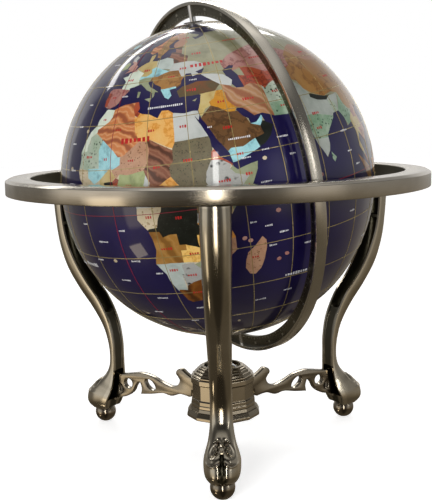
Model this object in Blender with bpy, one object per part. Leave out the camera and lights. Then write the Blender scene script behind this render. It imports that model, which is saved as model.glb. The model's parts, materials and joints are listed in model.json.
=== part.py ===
"""Gemstone desktop globe in a gimbal stand: three cast legs, a horizon ring and a meridian ring.

The origin is on the table, under the ball's centre, with +Z up and the front leg towards -Y.
Dimensions are in millimetres and become metres when a mesh is made.
"""
import math

import bmesh
import bpy
from mathutils import Matrix, Vector

MM = 0.001
GAP = 0.3                      # clearance between pieces that touch on the real object
WELD = 0.0001                  # distance below which two mesh points are one
RING_STEPS = 64                # flats round the two large rings
BALL_STEPS = 32                # flats round the ball

# Driving dimensions.
BALL_RADIUS = 165.0
CENTRE_HEIGHT = 288.0          # ball centre above the table
SHELL_THICKNESS = 5.0
POLE_TILT = 8.5                # degrees that the ball's axis leans from the vertical at rest
PIVOT_AZIMUTH = -60.0          # degrees from +X to the front pivot of the meridian ring
LEG_AZIMUTHS = {"front": -90.0, "right": 30.0, "left": 150.0}

# Horizon ring.
HORIZON_OUTER = 222.0
HORIZON_INNER = 196.0
HORIZON_BOTTOM = CENTRE_HEIGHT - 7.0
HORIZON_TOP = CENTRE_HEIGHT + 9.5

# Meridian ring, a T section: an outer flange on a thin web.
MERIDIAN_OUTER = 186.5
MERIDIAN_INNER = 171.5
MERIDIAN_FLANGE = 3.3
MERIDIAN_WIDTH = 11.7
MERIDIAN_WEB = 4.0

# Pins.
AXIS_PIN_RADIUS = 3.3
PIVOT_PIN_RADIUS = 3.0
AXIS_PIN_INNER = 150.0
PIVOT_PIN_INNER = 179.0
PIVOT_PIN_OUTER = 207.7
SPACER_RADIUS = 6.0
WASHER_RADIUS = 9.75
WASHER_THICKNESS = 1.2

# Globe bushes and the ring that joins its halves.
BUSH_RADIUS = 6.2
BUSH_FLANGE_RADIUS = 10.0
BUSH_FLANGE_THICKNESS = 2.5
POLE_HOLE = 6.6                # radius of the shell's hole at each pole
HALF_SEAM = 0.15               # half of the gap between the half shells
JOINING_RING_WIDTH = 5.0
JOINING_RING_HEIGHT = 16.0

# Legs and feet.
LEG_WALL = 2.8
LEG_SQUARENESS = 2.6           # exponent of the leg's rounded outer section
FOOT_RADIUS = 12.0
FOOT_REACH = 163.0             # from the stand's axis to the ball foot's centre
FOOT_FLAT = 3.0                # radius of the flat that the foot rests on
FOOT_CENTRE = math.sqrt(FOOT_RADIUS ** 2 - FOOT_FLAT ** 2)
STUD_RADIUS = 3.0
STUD_TOP = 37.0
NUT_RADIUS = 6.0
NUT_HEIGHT = 4.0
PAW_FLOOR = 28.5
LEG_TOP = HORIZON_BOTTOM - GAP
LEG_SCREW_REACH = 213.0
LEG_SCREW_RADIUS = 2.4
LEG_SCREW_HEAD_RADIUS = 4.2
LEG_SCREW_HEAD_HEIGHT = 4.0
LEG_SCREW_DEPTH = 9.0          # how far the screw goes into the horizon ring
LEG_PAD_BOTTOM = 270.0

# Struts and hub.
STRUT_THICKNESS = 7.0
STRUT_TAB_TOP = 31.3
HUB_SIDES = 12
HUB_RADIUS = 33.9              # corner radius of the panelled body
HUB_SCREW_RADIUS = 2.0
HUB_SCREW_HEIGHT = 56.0
BASE_SCREW_RADIUS = 1.8
BASE_SCREW_REACH = 20.0
NEEDLE_HEIGHT = 76.9
NEEDLE_THICKNESS = 0.8
NEEDLE_BOSS_RADIUS = 2.0
DIAL_LOW = 72.3
DIAL_TOP = 73.1
LENS_THICKNESS = 1.2
LENS_RIM = 82.9                # height at which the lens starts to dome
LENS_CROWN = 89.0


def clear_scene():
    for obj in list(bpy.data.objects):
        bpy.data.objects.remove(obj, do_unlink=True)


def make_material(name, colour, roughness, metallic, alpha=1.0):
    material = bpy.data.materials.new(name)
    material.use_nodes = True
    shader = material.node_tree.nodes["Principled BSDF"]
    shader.inputs["Base Color"].default_value = (*colour, 1.0)
    shader.inputs["Roughness"].default_value = roughness
    shader.inputs["Metallic"].default_value = metallic
    shader.inputs["Alpha"].default_value = alpha
    return material


# ---------------------------------------------------------------- mesh helpers

def finish_mesh(bm):
    bmesh.ops.remove_doubles(bm, verts=bm.verts, dist=WELD)
    bmesh.ops.dissolve_degenerate(bm, edges=bm.edges, dist=WELD)
    bmesh.ops.recalc_face_normals(bm, faces=bm.faces)
    return bm


def add_object(name, bm, material, parent=None, azimuth=0.0, sharp=32.0):
    """Turn a millimetre bmesh into an object, turned about Z by azimuth degrees."""
    bmesh.ops.scale(bm, vec=Vector((MM, MM, MM)), verts=bm.verts)
    mesh = bpy.data.meshes.new(name)
    bm.to_mesh(mesh)
    bm.free()
    mesh.materials.append(material)
    mesh.shade_smooth()
    mesh.set_sharp_from_angle(angle=math.radians(sharp))
    obj = bpy.data.objects.new(name, mesh)
    bpy.context.collection.objects.link(obj)
    obj.rotation_euler[2] = math.radians(azimuth)
    obj.parent = parent
    return obj


def add_empty(name, location, rotation=(0.0, 0.0, 0.0), parent=None):
    empty = bpy.data.objects.new(name, None)
    bpy.context.collection.objects.link(empty)
    empty.location = Vector(location) * MM
    empty.rotation_euler = [math.radians(angle) for angle in rotation]
    empty.parent = parent
    return empty


def turned(profile, steps, closed=True):
    """Turn (radius, height) points about Z. An open profile starts and ends on the axis."""
    bm = bmesh.new()
    verts = [bm.verts.new((radius, 0.0, height)) for radius, height in profile]
    pairs = list(zip(verts, verts[1:]))
    if closed:
        pairs.append((verts[-1], verts[0]))
    edges = [bm.edges.new(pair) for pair in pairs]
    bmesh.ops.spin(bm, geom=verts + edges, axis=(0, 0, 1), cent=(0, 0, 0), steps=steps,
                   angle=math.tau, use_merge=True)
    return finish_mesh(bm)


def rod(radius, bottom, top, steps=16):
    return turned([(0, bottom), (radius, bottom), (radius, top), (0, top)], steps, closed=False)


def tube(inner, outer, bottom, top, steps=24):
    return turned([(inner, bottom), (outer, bottom), (outer, top), (inner, top)], steps)


def extruded(outline, thickness):
    """Extrude a closed outline in the XZ plane, half the thickness to each side of it."""
    bm = bmesh.new()
    verts = [bm.verts.new((x, -thickness / 2, z)) for x, z in outline]
    face = bm.faces.new(verts)
    grown = bmesh.ops.extrude_face_region(bm, geom=[face])["geom"]
    copied = [item for item in grown if isinstance(item, bmesh.types.BMVert)]
    bmesh.ops.translate(bm, vec=Vector((0, thickness, 0)), verts=copied)
    return finish_mesh(bm)


def box(low, high):
    bm = bmesh.new()
    size = Vector(high) - Vector(low)
    middle = (Vector(high) + Vector(low)) / 2
    place = Matrix.Translation(middle) @ Matrix.Diagonal((*size, 1.0))
    bmesh.ops.create_cube(bm, size=1.0, matrix=place)
    return bm


def lofted(sections):
    """Join closed sections of equal length with quads and close both ends."""
    bm = bmesh.new()
    rings = [[bm.verts.new(point) for point in section] for section in sections]
    count = len(rings[0])
    for upper, lower in zip(rings, rings[1:]):
        for i in range(count):
            j = (i + 1) % count
            bm.faces.new((upper[i], upper[j], lower[j], lower[i]))
    bm.faces.new(rings[0])
    bm.faces.new(rings[-1])
    bmesh.ops.triangulate(bm, faces=bm.faces)
    return finish_mesh(bm)


def along_x(bm):
    """Lay a shape built along Z on to +X."""
    bmesh.ops.rotate(bm, matrix=Matrix.Rotation(math.radians(90), 3, "Y"), verts=bm.verts)
    return bm


def moved(bm, offset):
    bmesh.ops.translate(bm, vec=Vector(offset), verts=bm.verts)
    return bm


def as_cutter(obj):
    obj.hide_render = True
    obj.display_type = "WIRE"
    return obj


def boolean(target, tool, operation="DIFFERENCE"):
    modifier = target.modifiers.new(tool.name, "BOOLEAN")
    modifier.operation = operation
    modifier.solver = "EXACT"
    modifier.object = tool


def arc(centre, radius, start, end, count):
    """Points on a circular arc, angles in degrees."""
    points = []
    for i in range(count + 1):
        angle = math.radians(start + (end - start) * i / count)
        points.append((centre[0] + radius * math.cos(angle), centre[1] + radius * math.sin(angle)))
    return points


def spline(points, position):
    """Value of the Catmull-Rom curve through the points at a position counted in points."""
    last = len(points) - 1
    index = min(int(position), last - 1)
    local = position - index
    before = points[max(index - 1, 0)]
    start = points[index]
    end = points[index + 1]
    after = points[min(index + 2, last)]
    value = []
    for p0, p1, p2, p3 in zip(before, start, end, after):
        slope = (p2 - p0) * local
        bend = (2 * p0 - 5 * p1 + 4 * p2 - p3) * local ** 2
        twist = (3 * p1 - p0 - 3 * p2 + p3) * local ** 3
        value.append(p1 + (slope + bend + twist) / 2)
    return value


def curve(points, steps):
    """Points along the Catmull-Rom curve through the given points, last one left out."""
    total = (len(points) - 1) * steps
    return [tuple(spline(points, i / steps)) for i in range(total)]


# ---------------------------------------------------------------- legs

# Down the leg: outer face (reach, height), inner rim (reach, height), half width.
LEG_STATIONS = [
    (221.5, LEG_TOP, 204.0, LEG_TOP, 14.5),
    (222.0, 262.0, 207.0, 262.0, 14.3),
    (220.0, 236.0, 205.5, 237.0, 13.7),
    (216.0, 210.0, 201.0, 215.0, 13.2),
    (206.5, 183.0, 191.0, 191.5, 12.7),
    (190.0, 158.5, 176.5, 169.0, 12.2),
    (171.5, 136.5, 159.5, 148.0, 11.8),
    (157.5, 115.5, 147.0, 124.0, 11.3),
    (151.0, 96.5, 141.5, 100.5, 10.8),
    (149.2, 80.0, 140.8, 80.0, 10.8),
    (151.8, 67.5, 141.0, 64.0, 11.4),
    (159.5, 57.0, 142.0, 50.0, 13.4),
    (172.0, 48.0, 143.5, 41.0, 16.0),
    (181.5, 38.5, 146.0, 34.5, 17.8),
    (184.5, PAW_FLOOR, 149.0, PAW_FLOOR, 18.0),
    (183.0, 22.5, 151.0, 22.5, 17.0),
    (177.5, 18.0, 152.5, 18.0, 14.5),
]
# How deep the hollow back is, as a share of the full depth, at positions down the leg.
LEG_HOLLOW = [
    (0.0, 0.03), (0.57, 0.03), (0.59, 1.0), (1.95, 1.0), (2.0, 0.4), (2.12, 0.4), (2.17, 1.0),
    (6.4, 1.0), (6.5, 0.35), (6.62, 0.08), (9.95, 0.08), (10.0, 1.0), (13.98, 1.0),
    (14.0, 0.03), (16.0, 0.03),
]
LEG_OUTLINE_STEPS = 6


def hollow_share(position):
    for (start, low), (end, high) in zip(LEG_HOLLOW, LEG_HOLLOW[1:]):
        if position <= end:
            return low + (high - low) * (position - start) / (end - start)
    return LEG_HOLLOW[-1][1]


def rounded_half(half_width, depth, steps):
    """Half of a squared-off ellipse, from one rim to the other."""
    power = 2 / LEG_SQUARENESS
    points = []
    for i in range(steps + 1):
        angle = math.pi * i / steps
        across = math.copysign(abs(math.cos(angle)) ** power, math.cos(angle)) * half_width
        points.append((across, abs(math.sin(angle)) ** power * depth))
    return points


def leg_section(position):
    """One section of the leg: the round outer face, then back along the hollow inside."""
    out_x, out_z, rim_x, rim_z, half_width = spline(LEG_STATIONS, position)
    rim = Vector((rim_x, 0.0, rim_z))
    outward = Vector((out_x, 0.0, out_z)) - rim
    depth = outward.length
    outward.normalize()
    outside = rounded_half(half_width, depth, LEG_OUTLINE_STEPS)
    inner_depth = (depth - LEG_WALL) * hollow_share(position)
    inside = rounded_half(half_width - LEG_WALL, inner_depth, LEG_OUTLINE_STEPS)
    outline = outside + inside[::-1]
    return [rim + outward * deep + Vector((0.0, across, 0.0)) for across, deep in outline]


def leg_positions():
    """Every station, every step of the hollow, and a few between where the leg bends most."""
    steps = [position for position, _ in LEG_HOLLOW]
    near = 0.04
    even = list(range(len(LEG_STATIONS))) + [4.5, 6.25, 11.5, 12.5, 15.5]
    clear = [p for p in even if all(abs(p - step) > near for step in steps)]
    return sorted(clear + steps)


def make_legs(metal):
    for side, azimuth in LEG_AZIMUTHS.items():
        leg = add_object(f"leg_{side}", lofted([leg_section(p) for p in leg_positions()]), metal,
                         azimuth=azimuth)
        seat = turned([(0, FOOT_CENTRE - FOOT_RADIUS - GAP)]
                      + arc((0, FOOT_CENTRE), FOOT_RADIUS + GAP, -80, 80, 8)
                      + [(0, FOOT_CENTRE + FOOT_RADIUS + GAP)], 20, closed=False)
        seat_cutter = add_object(f"seat_cutter_{side}", moved(seat, (FOOT_REACH, 0, 0)), metal,
                                 azimuth=azimuth)
        stud_hole = moved(rod(STUD_RADIUS + GAP, FOOT_CENTRE, STUD_TOP), (FOOT_REACH, 0, 0))
        stud_cutter = add_object(f"stud_cutter_{side}", stud_hole, metal, azimuth=azimuth)
        screw_hole = moved(rod(LEG_SCREW_RADIUS + GAP, LEG_PAD_BOTTOM - 8, LEG_TOP + 5),
                           (LEG_SCREW_REACH, 0, 0))
        screw_cutter = add_object(f"leg_screw_cutter_{side}", screw_hole, metal, azimuth=azimuth)
        for tool in (seat_cutter, stud_cutter, screw_cutter):
            boolean(leg, as_cutter(tool))


def make_leg_fittings(metal, dark_metal):
    """Ball feet on studs, their nuts, and the screws that hold the legs to the horizon ring."""
    flat_angle = -math.degrees(math.acos(FOOT_FLAT / FOOT_RADIUS))
    for side, azimuth in LEG_AZIMUTHS.items():
        stud_angle = math.degrees(math.acos(STUD_RADIUS / FOOT_RADIUS))
        profile = [(0, 0)] + arc((0, FOOT_CENTRE), FOOT_RADIUS, flat_angle, stud_angle, 9)
        profile += [(STUD_RADIUS, STUD_TOP), (0, STUD_TOP)]
        foot = moved(turned(profile, 20, closed=False), (FOOT_REACH, 0, 0))
        add_object(f"ball_foot_{side}", foot, metal, azimuth=azimuth)
        nut_bottom = STRUT_TAB_TOP + GAP
        nut = rod(NUT_RADIUS, nut_bottom, nut_bottom + NUT_HEIGHT, 6)
        round_bore = rod(STUD_RADIUS + GAP, nut_bottom - 1, nut_bottom + NUT_HEIGHT + 1)
        nut_object = add_object(f"foot_nut_{side}", moved(nut, (FOOT_REACH, 0, 0)), dark_metal,
                                azimuth=azimuth)
        bore = add_object(f"nut_cutter_{side}", moved(round_bore, (FOOT_REACH, 0, 0)), dark_metal,
                          azimuth=azimuth)
        boolean(nut_object, as_cutter(bore))
        head_top = LEG_PAD_BOTTOM - GAP
        head_low = head_top - LEG_SCREW_HEAD_HEIGHT
        tip = HORIZON_BOTTOM + LEG_SCREW_DEPTH
        screw = turned([(0, head_low), (LEG_SCREW_HEAD_RADIUS, head_low), (LEG_SCREW_HEAD_RADIUS, head_top),
                        (LEG_SCREW_RADIUS, head_top), (LEG_SCREW_RADIUS, tip), (0, tip)],
                       16, closed=False)
        add_object(f"leg_screw_{side}", moved(screw, (LEG_SCREW_REACH, 0, 0)), dark_metal,
                   azimuth=azimuth)


# ---------------------------------------------------------------- struts

HUB_FACE = HUB_RADIUS * math.cos(math.pi / HUB_SIDES) + GAP
STRUT_TOP_EDGE = [(148.5, 60.5), (134, 60.8), (118, 63.6), (107, 65), (93, 62.8), (78, 56.8),
                  (66, 54), (58, 56.6), (54.5, 62), (56.5, 66.3), (59.3, 70), (57.5, 74.3), (52, 75.8),
                  (45.5, 71.5), (39.5, 68)]
STRUT_HUB_END = [(39.5, 68), (HUB_FACE, 67.8), (HUB_FACE, 53.2), (38.5, 53.2), (38.5, 46)]
STRUT_LOWER_EDGE = [(42, 44.8), (54, 46.6), (66, 43), (78, 44.6), (93, 41.8), (108.5, 39.8)]
STRUT_ARCH = [(108.5, 39.8), (107.3, 47), (110.3, 53.8), (115.5, 49), (120, 41), (128, 35),
              (138, 32), (146, PAW_FLOOR + GAP)]


def make_strut(side, azimuth, metal):
    outline = curve(STRUT_TOP_EDGE, 2) + STRUT_HUB_END + curve(STRUT_LOWER_EDGE, 2)
    outline += curve(STRUT_ARCH, 2)
    outline += [(146, PAW_FLOOR + GAP), (148.5, PAW_FLOOR + GAP)]
    strut = add_object(f"strut_{side}", extruded(outline, STRUT_THICKNESS), metal, azimuth=azimuth)
    tab = add_object(f"tab_{side}", box((144, -6.5, PAW_FLOOR + GAP), (171, 6.5, STRUT_TAB_TOP)),
                     metal, azimuth=azimuth)
    boolean(strut, as_cutter(tab), "UNION")
    deep = STRUT_THICKNESS + 2
    windows = {
        "round": extruded(arc((126, 50.5), 5.6, 0, 330, 11), deep),
        "oval": extruded(oval((95, 52.5), 8.2, 4.6, 40), deep),
        "slot": extruded(oval((137, 43), 4.8, 2.0, 80), deep),
    }
    cutters = [add_object(f"{shape}_cutter_{side}", bm, metal, azimuth=azimuth)
               for shape, bm in windows.items()]
    stud_hole = moved(rod(STUD_RADIUS + GAP, PAW_FLOOR - 2, STRUT_TAB_TOP + 2), (FOOT_REACH, 0, 0))
    cutters.append(add_object(f"tab_cutter_{side}", stud_hole, metal, azimuth=azimuth))
    screw_hole = moved(along_x(rod(HUB_SCREW_RADIUS + GAP, 30, 47, 12)), (0, 0, HUB_SCREW_HEIGHT))
    cutters.append(add_object(f"strut_screw_cutter_{side}", screw_hole, metal, azimuth=azimuth))
    for tool in cutters:
        boolean(strut, as_cutter(tool))


def oval(centre, long_radius, short_radius, slant, count=12):
    """An ellipse whose long axis leans slant degrees from +X."""
    points = []
    lean = math.radians(slant)
    for i in range(count):
        angle = math.tau * i / count
        along = long_radius * math.cos(angle)
        across = short_radius * math.sin(angle)
        points.append((centre[0] + along * math.cos(lean) - across * math.sin(lean),
                       centre[1] + along * math.sin(lean) + across * math.cos(lean)))
    return points


# ---------------------------------------------------------------- hub and compass

def twelve_sided(profile, closed=True):
    """A hub shape with a flat towards each leg."""
    bm = turned(profile, HUB_SIDES, closed)
    half_side = math.pi / HUB_SIDES
    bmesh.ops.rotate(bm, matrix=Matrix.Rotation(half_side, 3, "Z"), verts=bm.verts)
    return bm


def make_hub(metal, dark_metal):
    base = twelve_sided([(0, 38), (30, 38), (30, 32), (39.7, 32), (40.7, 33), (40.7, 35.5), (38.2, 40),
                         (36.8, 40), (36, 43.7), (0, 43.7)], closed=False)
    base_object = add_object("hub_base", base, metal)
    body = twelve_sided([(14, 44), (36, 44), (36, 47), (35.3, 47.6), (35.3, 51.4), (HUB_RADIUS, 52.6),
                         (HUB_RADIUS, 68.4), (35.4, 69.8), (35.4, 74.6), (34.2, 75.7), (28.5, 75.7),
                         (28.5, 49.5), (14, 49.5)])
    body_object = add_object("hub_body", body, metal)
    cap = twelve_sided([(34.2, 76), (34.2, 77.3), (32.2, 78), (31.2, 80.2), (29.4, 80.8), (28.4, 82.8),
                        (26.9, 83.3), (25.9, 85), (24.4, 85.4), (23.4, 86.7), (20.4, 86.9),
                        (20.4, 83), (24.8, 83), (24.8, 76)])
    add_object("hub_cap", cap, metal)
    for side, azimuth in LEG_AZIMUTHS.items():
        screw = along_x(turned([(0, 24.6), (3.5, 24.6), (3.5, 27.2), (HUB_SCREW_RADIUS, 27.2),
                                (HUB_SCREW_RADIUS, 46.5), (0, 46.5)], 12, closed=False))
        add_object(f"hub_screw_{side}", moved(screw, (0, 0, HUB_SCREW_HEIGHT)), dark_metal,
                   azimuth=azimuth)
        hole = moved(along_x(rod(HUB_SCREW_RADIUS + GAP, 20, 40, 12)), (0, 0, HUB_SCREW_HEIGHT))
        boolean(body_object, as_cutter(add_object(f"hub_cutter_{side}", hole, metal, azimuth=azimuth)))
        screw = turned([(0, 34.9), (3.6, 34.9), (3.6, 37.7), (BASE_SCREW_RADIUS, 37.7),
                        (BASE_SCREW_RADIUS, 48.5), (0, 48.5)], 12, closed=False)
        add_object(f"base_screw_{side}", moved(screw, (BASE_SCREW_REACH, 0, 0)), dark_metal,
                   azimuth=azimuth)
        hole = moved(rod(BASE_SCREW_RADIUS + GAP, 30, 52, 12), (BASE_SCREW_REACH, 0, 0))
        tool = as_cutter(add_object(f"base_cutter_{side}", hole, metal, azimuth=azimuth))
        boolean(base_object, tool)
        boolean(body_object, tool)


def make_compass(brass, dial_white, needle_red, steel, glass):
    bowl = turned([(0, 49.8), (13.5, 49.8), (16, 51), (16, 60), (23.4, 66), (23.4, 80.2), (22, 80.2),
                   (22, 72), (0, 72)], 24, closed=False)
    add_object("compass_bowl", bowl, brass)
    add_object("compass_dial", tube(1.4, 21.6, DIAL_LOW, DIAL_TOP, 24), dial_white)
    pivot = turned([(0, DIAL_LOW), (1, DIAL_LOW), (1, 75.4), (0.2, 76.6), (0, 76.6)], 12, closed=False)
    add_object("compass_pivot", pivot, steel)
    needle_axis = add_empty("needle_axis", (0, 0, NEEDLE_HEIGHT))
    blade = [(0, 17.5), (-2.4, 0), (0, -17.5), (2.4, 0)]
    bm = bmesh.new()
    face = bm.faces.new([bm.verts.new((x, y, 0.0)) for x, y in blade])
    grown = bmesh.ops.extrude_face_region(bm, geom=[face])["geom"]
    top = [item for item in grown if isinstance(item, bmesh.types.BMVert)]
    bmesh.ops.translate(bm, vec=Vector((0, 0, NEEDLE_THICKNESS)), verts=top)
    needle = add_object("compass_needle", finish_mesh(bm), needle_red, parent=needle_axis)
    boss = add_object("needle_boss", rod(NEEDLE_BOSS_RADIUS, 0.05, 2.0, 12), needle_red, parent=needle_axis)
    boolean(needle, as_cutter(boss), "UNION")
    outer = dome_arc(19.2, LENS_RIM, LENS_CROWN, 4)
    inner = dome_arc(17.9, LENS_RIM - LENS_THICKNESS, LENS_CROWN - LENS_THICKNESS, 4)
    lens = outer + [(23.2, 82.7), (23.2, 80.5), (17.9, 80.5)] + inner[::-1]
    add_object("compass_lens", turned(lens, 24, closed=False), glass)


def dome_arc(radius, rim_height, top_height, count):
    """A shallow dome's profile from its top on the axis to its rim."""
    rise = top_height - rim_height
    sphere = (radius ** 2 + rise ** 2) / (2 * rise)
    half_angle = math.asin(radius / sphere)
    points = []
    for i in range(count + 1):
        angle = half_angle * i / count
        points.append((sphere * math.sin(angle), top_height - sphere * (1 - math.cos(angle))))
    return points


# ---------------------------------------------------------------- rings

def make_horizon_ring(metal):
    profile = [(HORIZON_INNER, HORIZON_BOTTOM + 1), (HORIZON_INNER + 1, HORIZON_BOTTOM),
               (HORIZON_OUTER - 1, HORIZON_BOTTOM), (HORIZON_OUTER, HORIZON_BOTTOM + 1),
               (HORIZON_OUTER, HORIZON_TOP - 1.5), (HORIZON_OUTER - 1.5, HORIZON_TOP),
               (HORIZON_INNER + 1, HORIZON_TOP), (HORIZON_INNER, HORIZON_TOP - 1)]
    ring = add_object("horizon_ring", turned(profile, RING_STEPS), metal)
    for side, azimuth in LEG_AZIMUTHS.items():
        hole = moved(rod(LEG_SCREW_RADIUS + GAP, HORIZON_BOTTOM - 5, HORIZON_BOTTOM + 10),
                     (LEG_SCREW_REACH, 0, 0))
        boolean(ring, as_cutter(add_object(f"ring_cutter_{side}", hole, metal, azimuth=azimuth)))
    return ring


def make_pivots(ring, metal, brass, pivot_axis):
    """The two pins that the meridian ring swings on, with a spacer on each."""
    for end, azimuth in {"front": 0.0, "rear": 180.0}.items():
        pin = along_x(rod(PIVOT_PIN_RADIUS, PIVOT_PIN_INNER, PIVOT_PIN_OUTER))
        add_object(f"pivot_pin_{end}", pin, metal, pivot_axis, azimuth)
        spacer = along_x(tube(PIVOT_PIN_RADIUS + GAP, SPACER_RADIUS, MERIDIAN_OUTER + 0.6,
                              HORIZON_INNER - 0.7, 24))
        add_object(f"pivot_spacer_{end}", spacer, brass, pivot_axis, azimuth)
        hole = along_x(rod(PIVOT_PIN_RADIUS + GAP, HORIZON_INNER - 6, PIVOT_PIN_OUTER + GAP))
        boolean(ring, as_cutter(add_object(f"pivot_cutter_{end}", hole, metal, pivot_axis, azimuth)))


def make_meridian_ring(metal, meridian_axis):
    """The ring stands in its axis's XZ plane: the pivots are on X and the poles on Z."""
    web = MERIDIAN_WEB / 2
    flange = MERIDIAN_WIDTH / 2
    step = MERIDIAN_OUTER - MERIDIAN_FLANGE
    bevel = 0.6
    half = [(MERIDIAN_INNER, web), (step, web), (step, flange), (MERIDIAN_OUTER - bevel, flange),
            (MERIDIAN_OUTER, flange - bevel)]
    profile = half + [(radius, -height) for radius, height in half[::-1]]
    bm = turned(profile, RING_STEPS)
    bmesh.ops.rotate(bm, matrix=Matrix.Rotation(math.radians(90), 3, "X"), verts=bm.verts)
    ring = add_object("meridian_ring", bm, metal, meridian_axis)
    for end, azimuth in {"front": 0.0, "rear": 180.0}.items():
        hole = along_x(rod(PIVOT_PIN_RADIUS + GAP, MERIDIAN_INNER - 3, MERIDIAN_OUTER + 3))
        tool = add_object(f"meridian_cutter_{end}", hole, metal, meridian_axis, azimuth)
        boolean(ring, as_cutter(tool))
    for pole, sign in {"north": 1, "south": -1}.items():
        span = sorted((sign * (MERIDIAN_INNER - 3), sign * (MERIDIAN_OUTER + 3)))
        hole = rod(AXIS_PIN_RADIUS + GAP, *span)
        tool = add_object(f"meridian_cutter_{pole}", hole, metal, meridian_axis)
        boolean(ring, as_cutter(tool))


# ---------------------------------------------------------------- globe

def mirrored(profile, sign):
    return [(radius, sign * height) for radius, height in profile]


def make_axis_fittings(metal, dark_metal, brass, meridian_axis, globe_axis):
    for pole, sign in {"north": 1, "south": -1}.items():
        pin = mirrored([(0, AXIS_PIN_INNER), (AXIS_PIN_RADIUS, AXIS_PIN_INNER),
                        (AXIS_PIN_RADIUS, MERIDIAN_OUTER - GAP), (0, MERIDIAN_OUTER - GAP)], sign)
        add_object(f"axis_pin_{pole}", turned(pin, 24, closed=False), metal, meridian_axis)
        bore = AXIS_PIN_RADIUS + GAP
        washer_low = BALL_RADIUS + GAP
        washer_top = washer_low + WASHER_THICKNESS
        washer = mirrored([(bore, washer_low), (WASHER_RADIUS, washer_low), (WASHER_RADIUS, washer_top),
                           (bore, washer_top)], sign)
        add_object(f"axis_washer_{pole}", turned(washer, 24), dark_metal, meridian_axis)
        flange_top = BALL_RADIUS - SHELL_THICKNESS - 0.9
        flange_low = flange_top - BUSH_FLANGE_THICKNESS
        bush = mirrored([(bore, flange_low), (BUSH_FLANGE_RADIUS, flange_low),
                         (BUSH_FLANGE_RADIUS, flange_top), (BUSH_RADIUS, flange_top),
                         (BUSH_RADIUS, BALL_RADIUS - GAP), (bore, BALL_RADIUS - GAP)], sign)
        add_object(f"pole_bush_{pole}", turned(bush, 16), brass, globe_axis)


def make_globe(resin, dark_metal, globe_axis):
    """Two half shells with a hole for the bush at each pole, glued over an inner ring."""
    rows = 7
    inner = BALL_RADIUS - SHELL_THICKNESS
    outside = arc((0, 0), BALL_RADIUS, 0, 90 - math.degrees(math.asin(POLE_HOLE / BALL_RADIUS)), rows)
    inside = arc((0, 0), inner, 90 - math.degrees(math.asin(POLE_HOLE / inner)), 0, rows)
    outside[0] = (BALL_RADIUS, HALF_SEAM)
    inside[-1] = (inner, HALF_SEAM)
    for half, sign in {"north": 1, "south": -1}.items():
        shell = turned(mirrored(outside + inside, sign), BALL_STEPS)
        add_object(f"globe_shell_{half}", shell, resin, globe_axis)
    outer = inner - 1.8
    ring = tube(outer - JOINING_RING_WIDTH, outer, -JOINING_RING_HEIGHT / 2, JOINING_RING_HEIGHT / 2,
                BALL_STEPS)
    add_object("joining_ring", ring, dark_metal, globe_axis)


def main():
    clear_scene()
    metal = make_material("antique_nickel", (0.42, 0.38, 0.33), 0.3, 1.0)
    dark_metal = make_material("dark_steel", (0.16, 0.14, 0.12), 0.4, 1.0)
    chrome = make_material("chrome", (0.75, 0.75, 0.76), 0.12, 1.0)
    brass = make_material("brass", (0.6, 0.45, 0.2), 0.3, 1.0)
    resin = make_material("ocean_resin", (0.025, 0.015, 0.11), 0.12, 0.0)
    dial_white = make_material("dial_white", (0.8, 0.78, 0.7), 0.5, 0.0)
    needle_red = make_material("needle_red", (0.6, 0.03, 0.02), 0.4, 0.0)
    glass = make_material("lens_glass", (0.95, 0.97, 0.97), 0.03, 0.0, alpha=0.3)

    centre = (0, 0, CENTRE_HEIGHT)
    pivot_axis = add_empty("pivot_axis", centre, (0, 0, PIVOT_AZIMUTH))
    meridian_axis = add_empty("meridian_axis", centre, (POLE_TILT, 0, PIVOT_AZIMUTH))
    globe_axis = add_empty("globe_axis", (0, 0, 0), parent=meridian_axis)

    make_legs(metal)
    make_leg_fittings(metal, dark_metal)
    for side, azimuth in LEG_AZIMUTHS.items():
        make_strut(side, azimuth, metal)
    make_hub(metal, dark_metal)
    make_compass(brass, dial_white, needle_red, chrome, glass)
    ring = make_horizon_ring(metal)
    make_pivots(ring, chrome, brass, pivot_axis)
    make_meridian_ring(metal, meridian_axis)
    make_axis_fittings(chrome, dark_metal, brass, meridian_axis, globe_axis)
    make_globe(resin, dark_metal, globe_axis)


main()
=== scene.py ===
"""Looks of the gemstone desktop globe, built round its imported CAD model.

Meshes are modelled in millimetres, as in the part's source, and become metres when an object is made.
"""
import json
import math

import bmesh
import bpy
from mathutils import Matrix, Vector, noise
from mathutils.geometry import delaunay_2d_cdt


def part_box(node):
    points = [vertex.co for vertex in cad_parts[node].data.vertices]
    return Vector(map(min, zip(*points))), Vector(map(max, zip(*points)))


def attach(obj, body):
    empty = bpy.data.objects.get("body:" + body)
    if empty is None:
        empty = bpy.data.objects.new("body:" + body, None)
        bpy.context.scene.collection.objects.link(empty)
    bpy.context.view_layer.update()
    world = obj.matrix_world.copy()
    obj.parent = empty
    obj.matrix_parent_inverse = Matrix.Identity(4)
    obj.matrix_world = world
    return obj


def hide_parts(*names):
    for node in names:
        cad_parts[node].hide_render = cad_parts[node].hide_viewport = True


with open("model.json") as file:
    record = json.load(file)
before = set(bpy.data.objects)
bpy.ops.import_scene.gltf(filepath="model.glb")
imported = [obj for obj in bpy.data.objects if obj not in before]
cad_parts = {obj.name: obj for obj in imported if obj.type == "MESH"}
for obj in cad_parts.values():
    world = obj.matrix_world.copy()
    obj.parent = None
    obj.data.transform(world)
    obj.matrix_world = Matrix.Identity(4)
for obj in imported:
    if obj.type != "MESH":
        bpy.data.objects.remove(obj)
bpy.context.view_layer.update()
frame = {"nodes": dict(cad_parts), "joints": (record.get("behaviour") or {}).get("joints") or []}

MM = 0.001
WELD = 0.0005                                       # millimetres below which two mesh points are one
FIT = 0.3                                           # clearance round pins and screws, in millimetres
joints = {joint["name"]: joint for joint in frame["joints"]}
CENTRE = Vector(joints["globe_spin"]["pos_m"])
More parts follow.
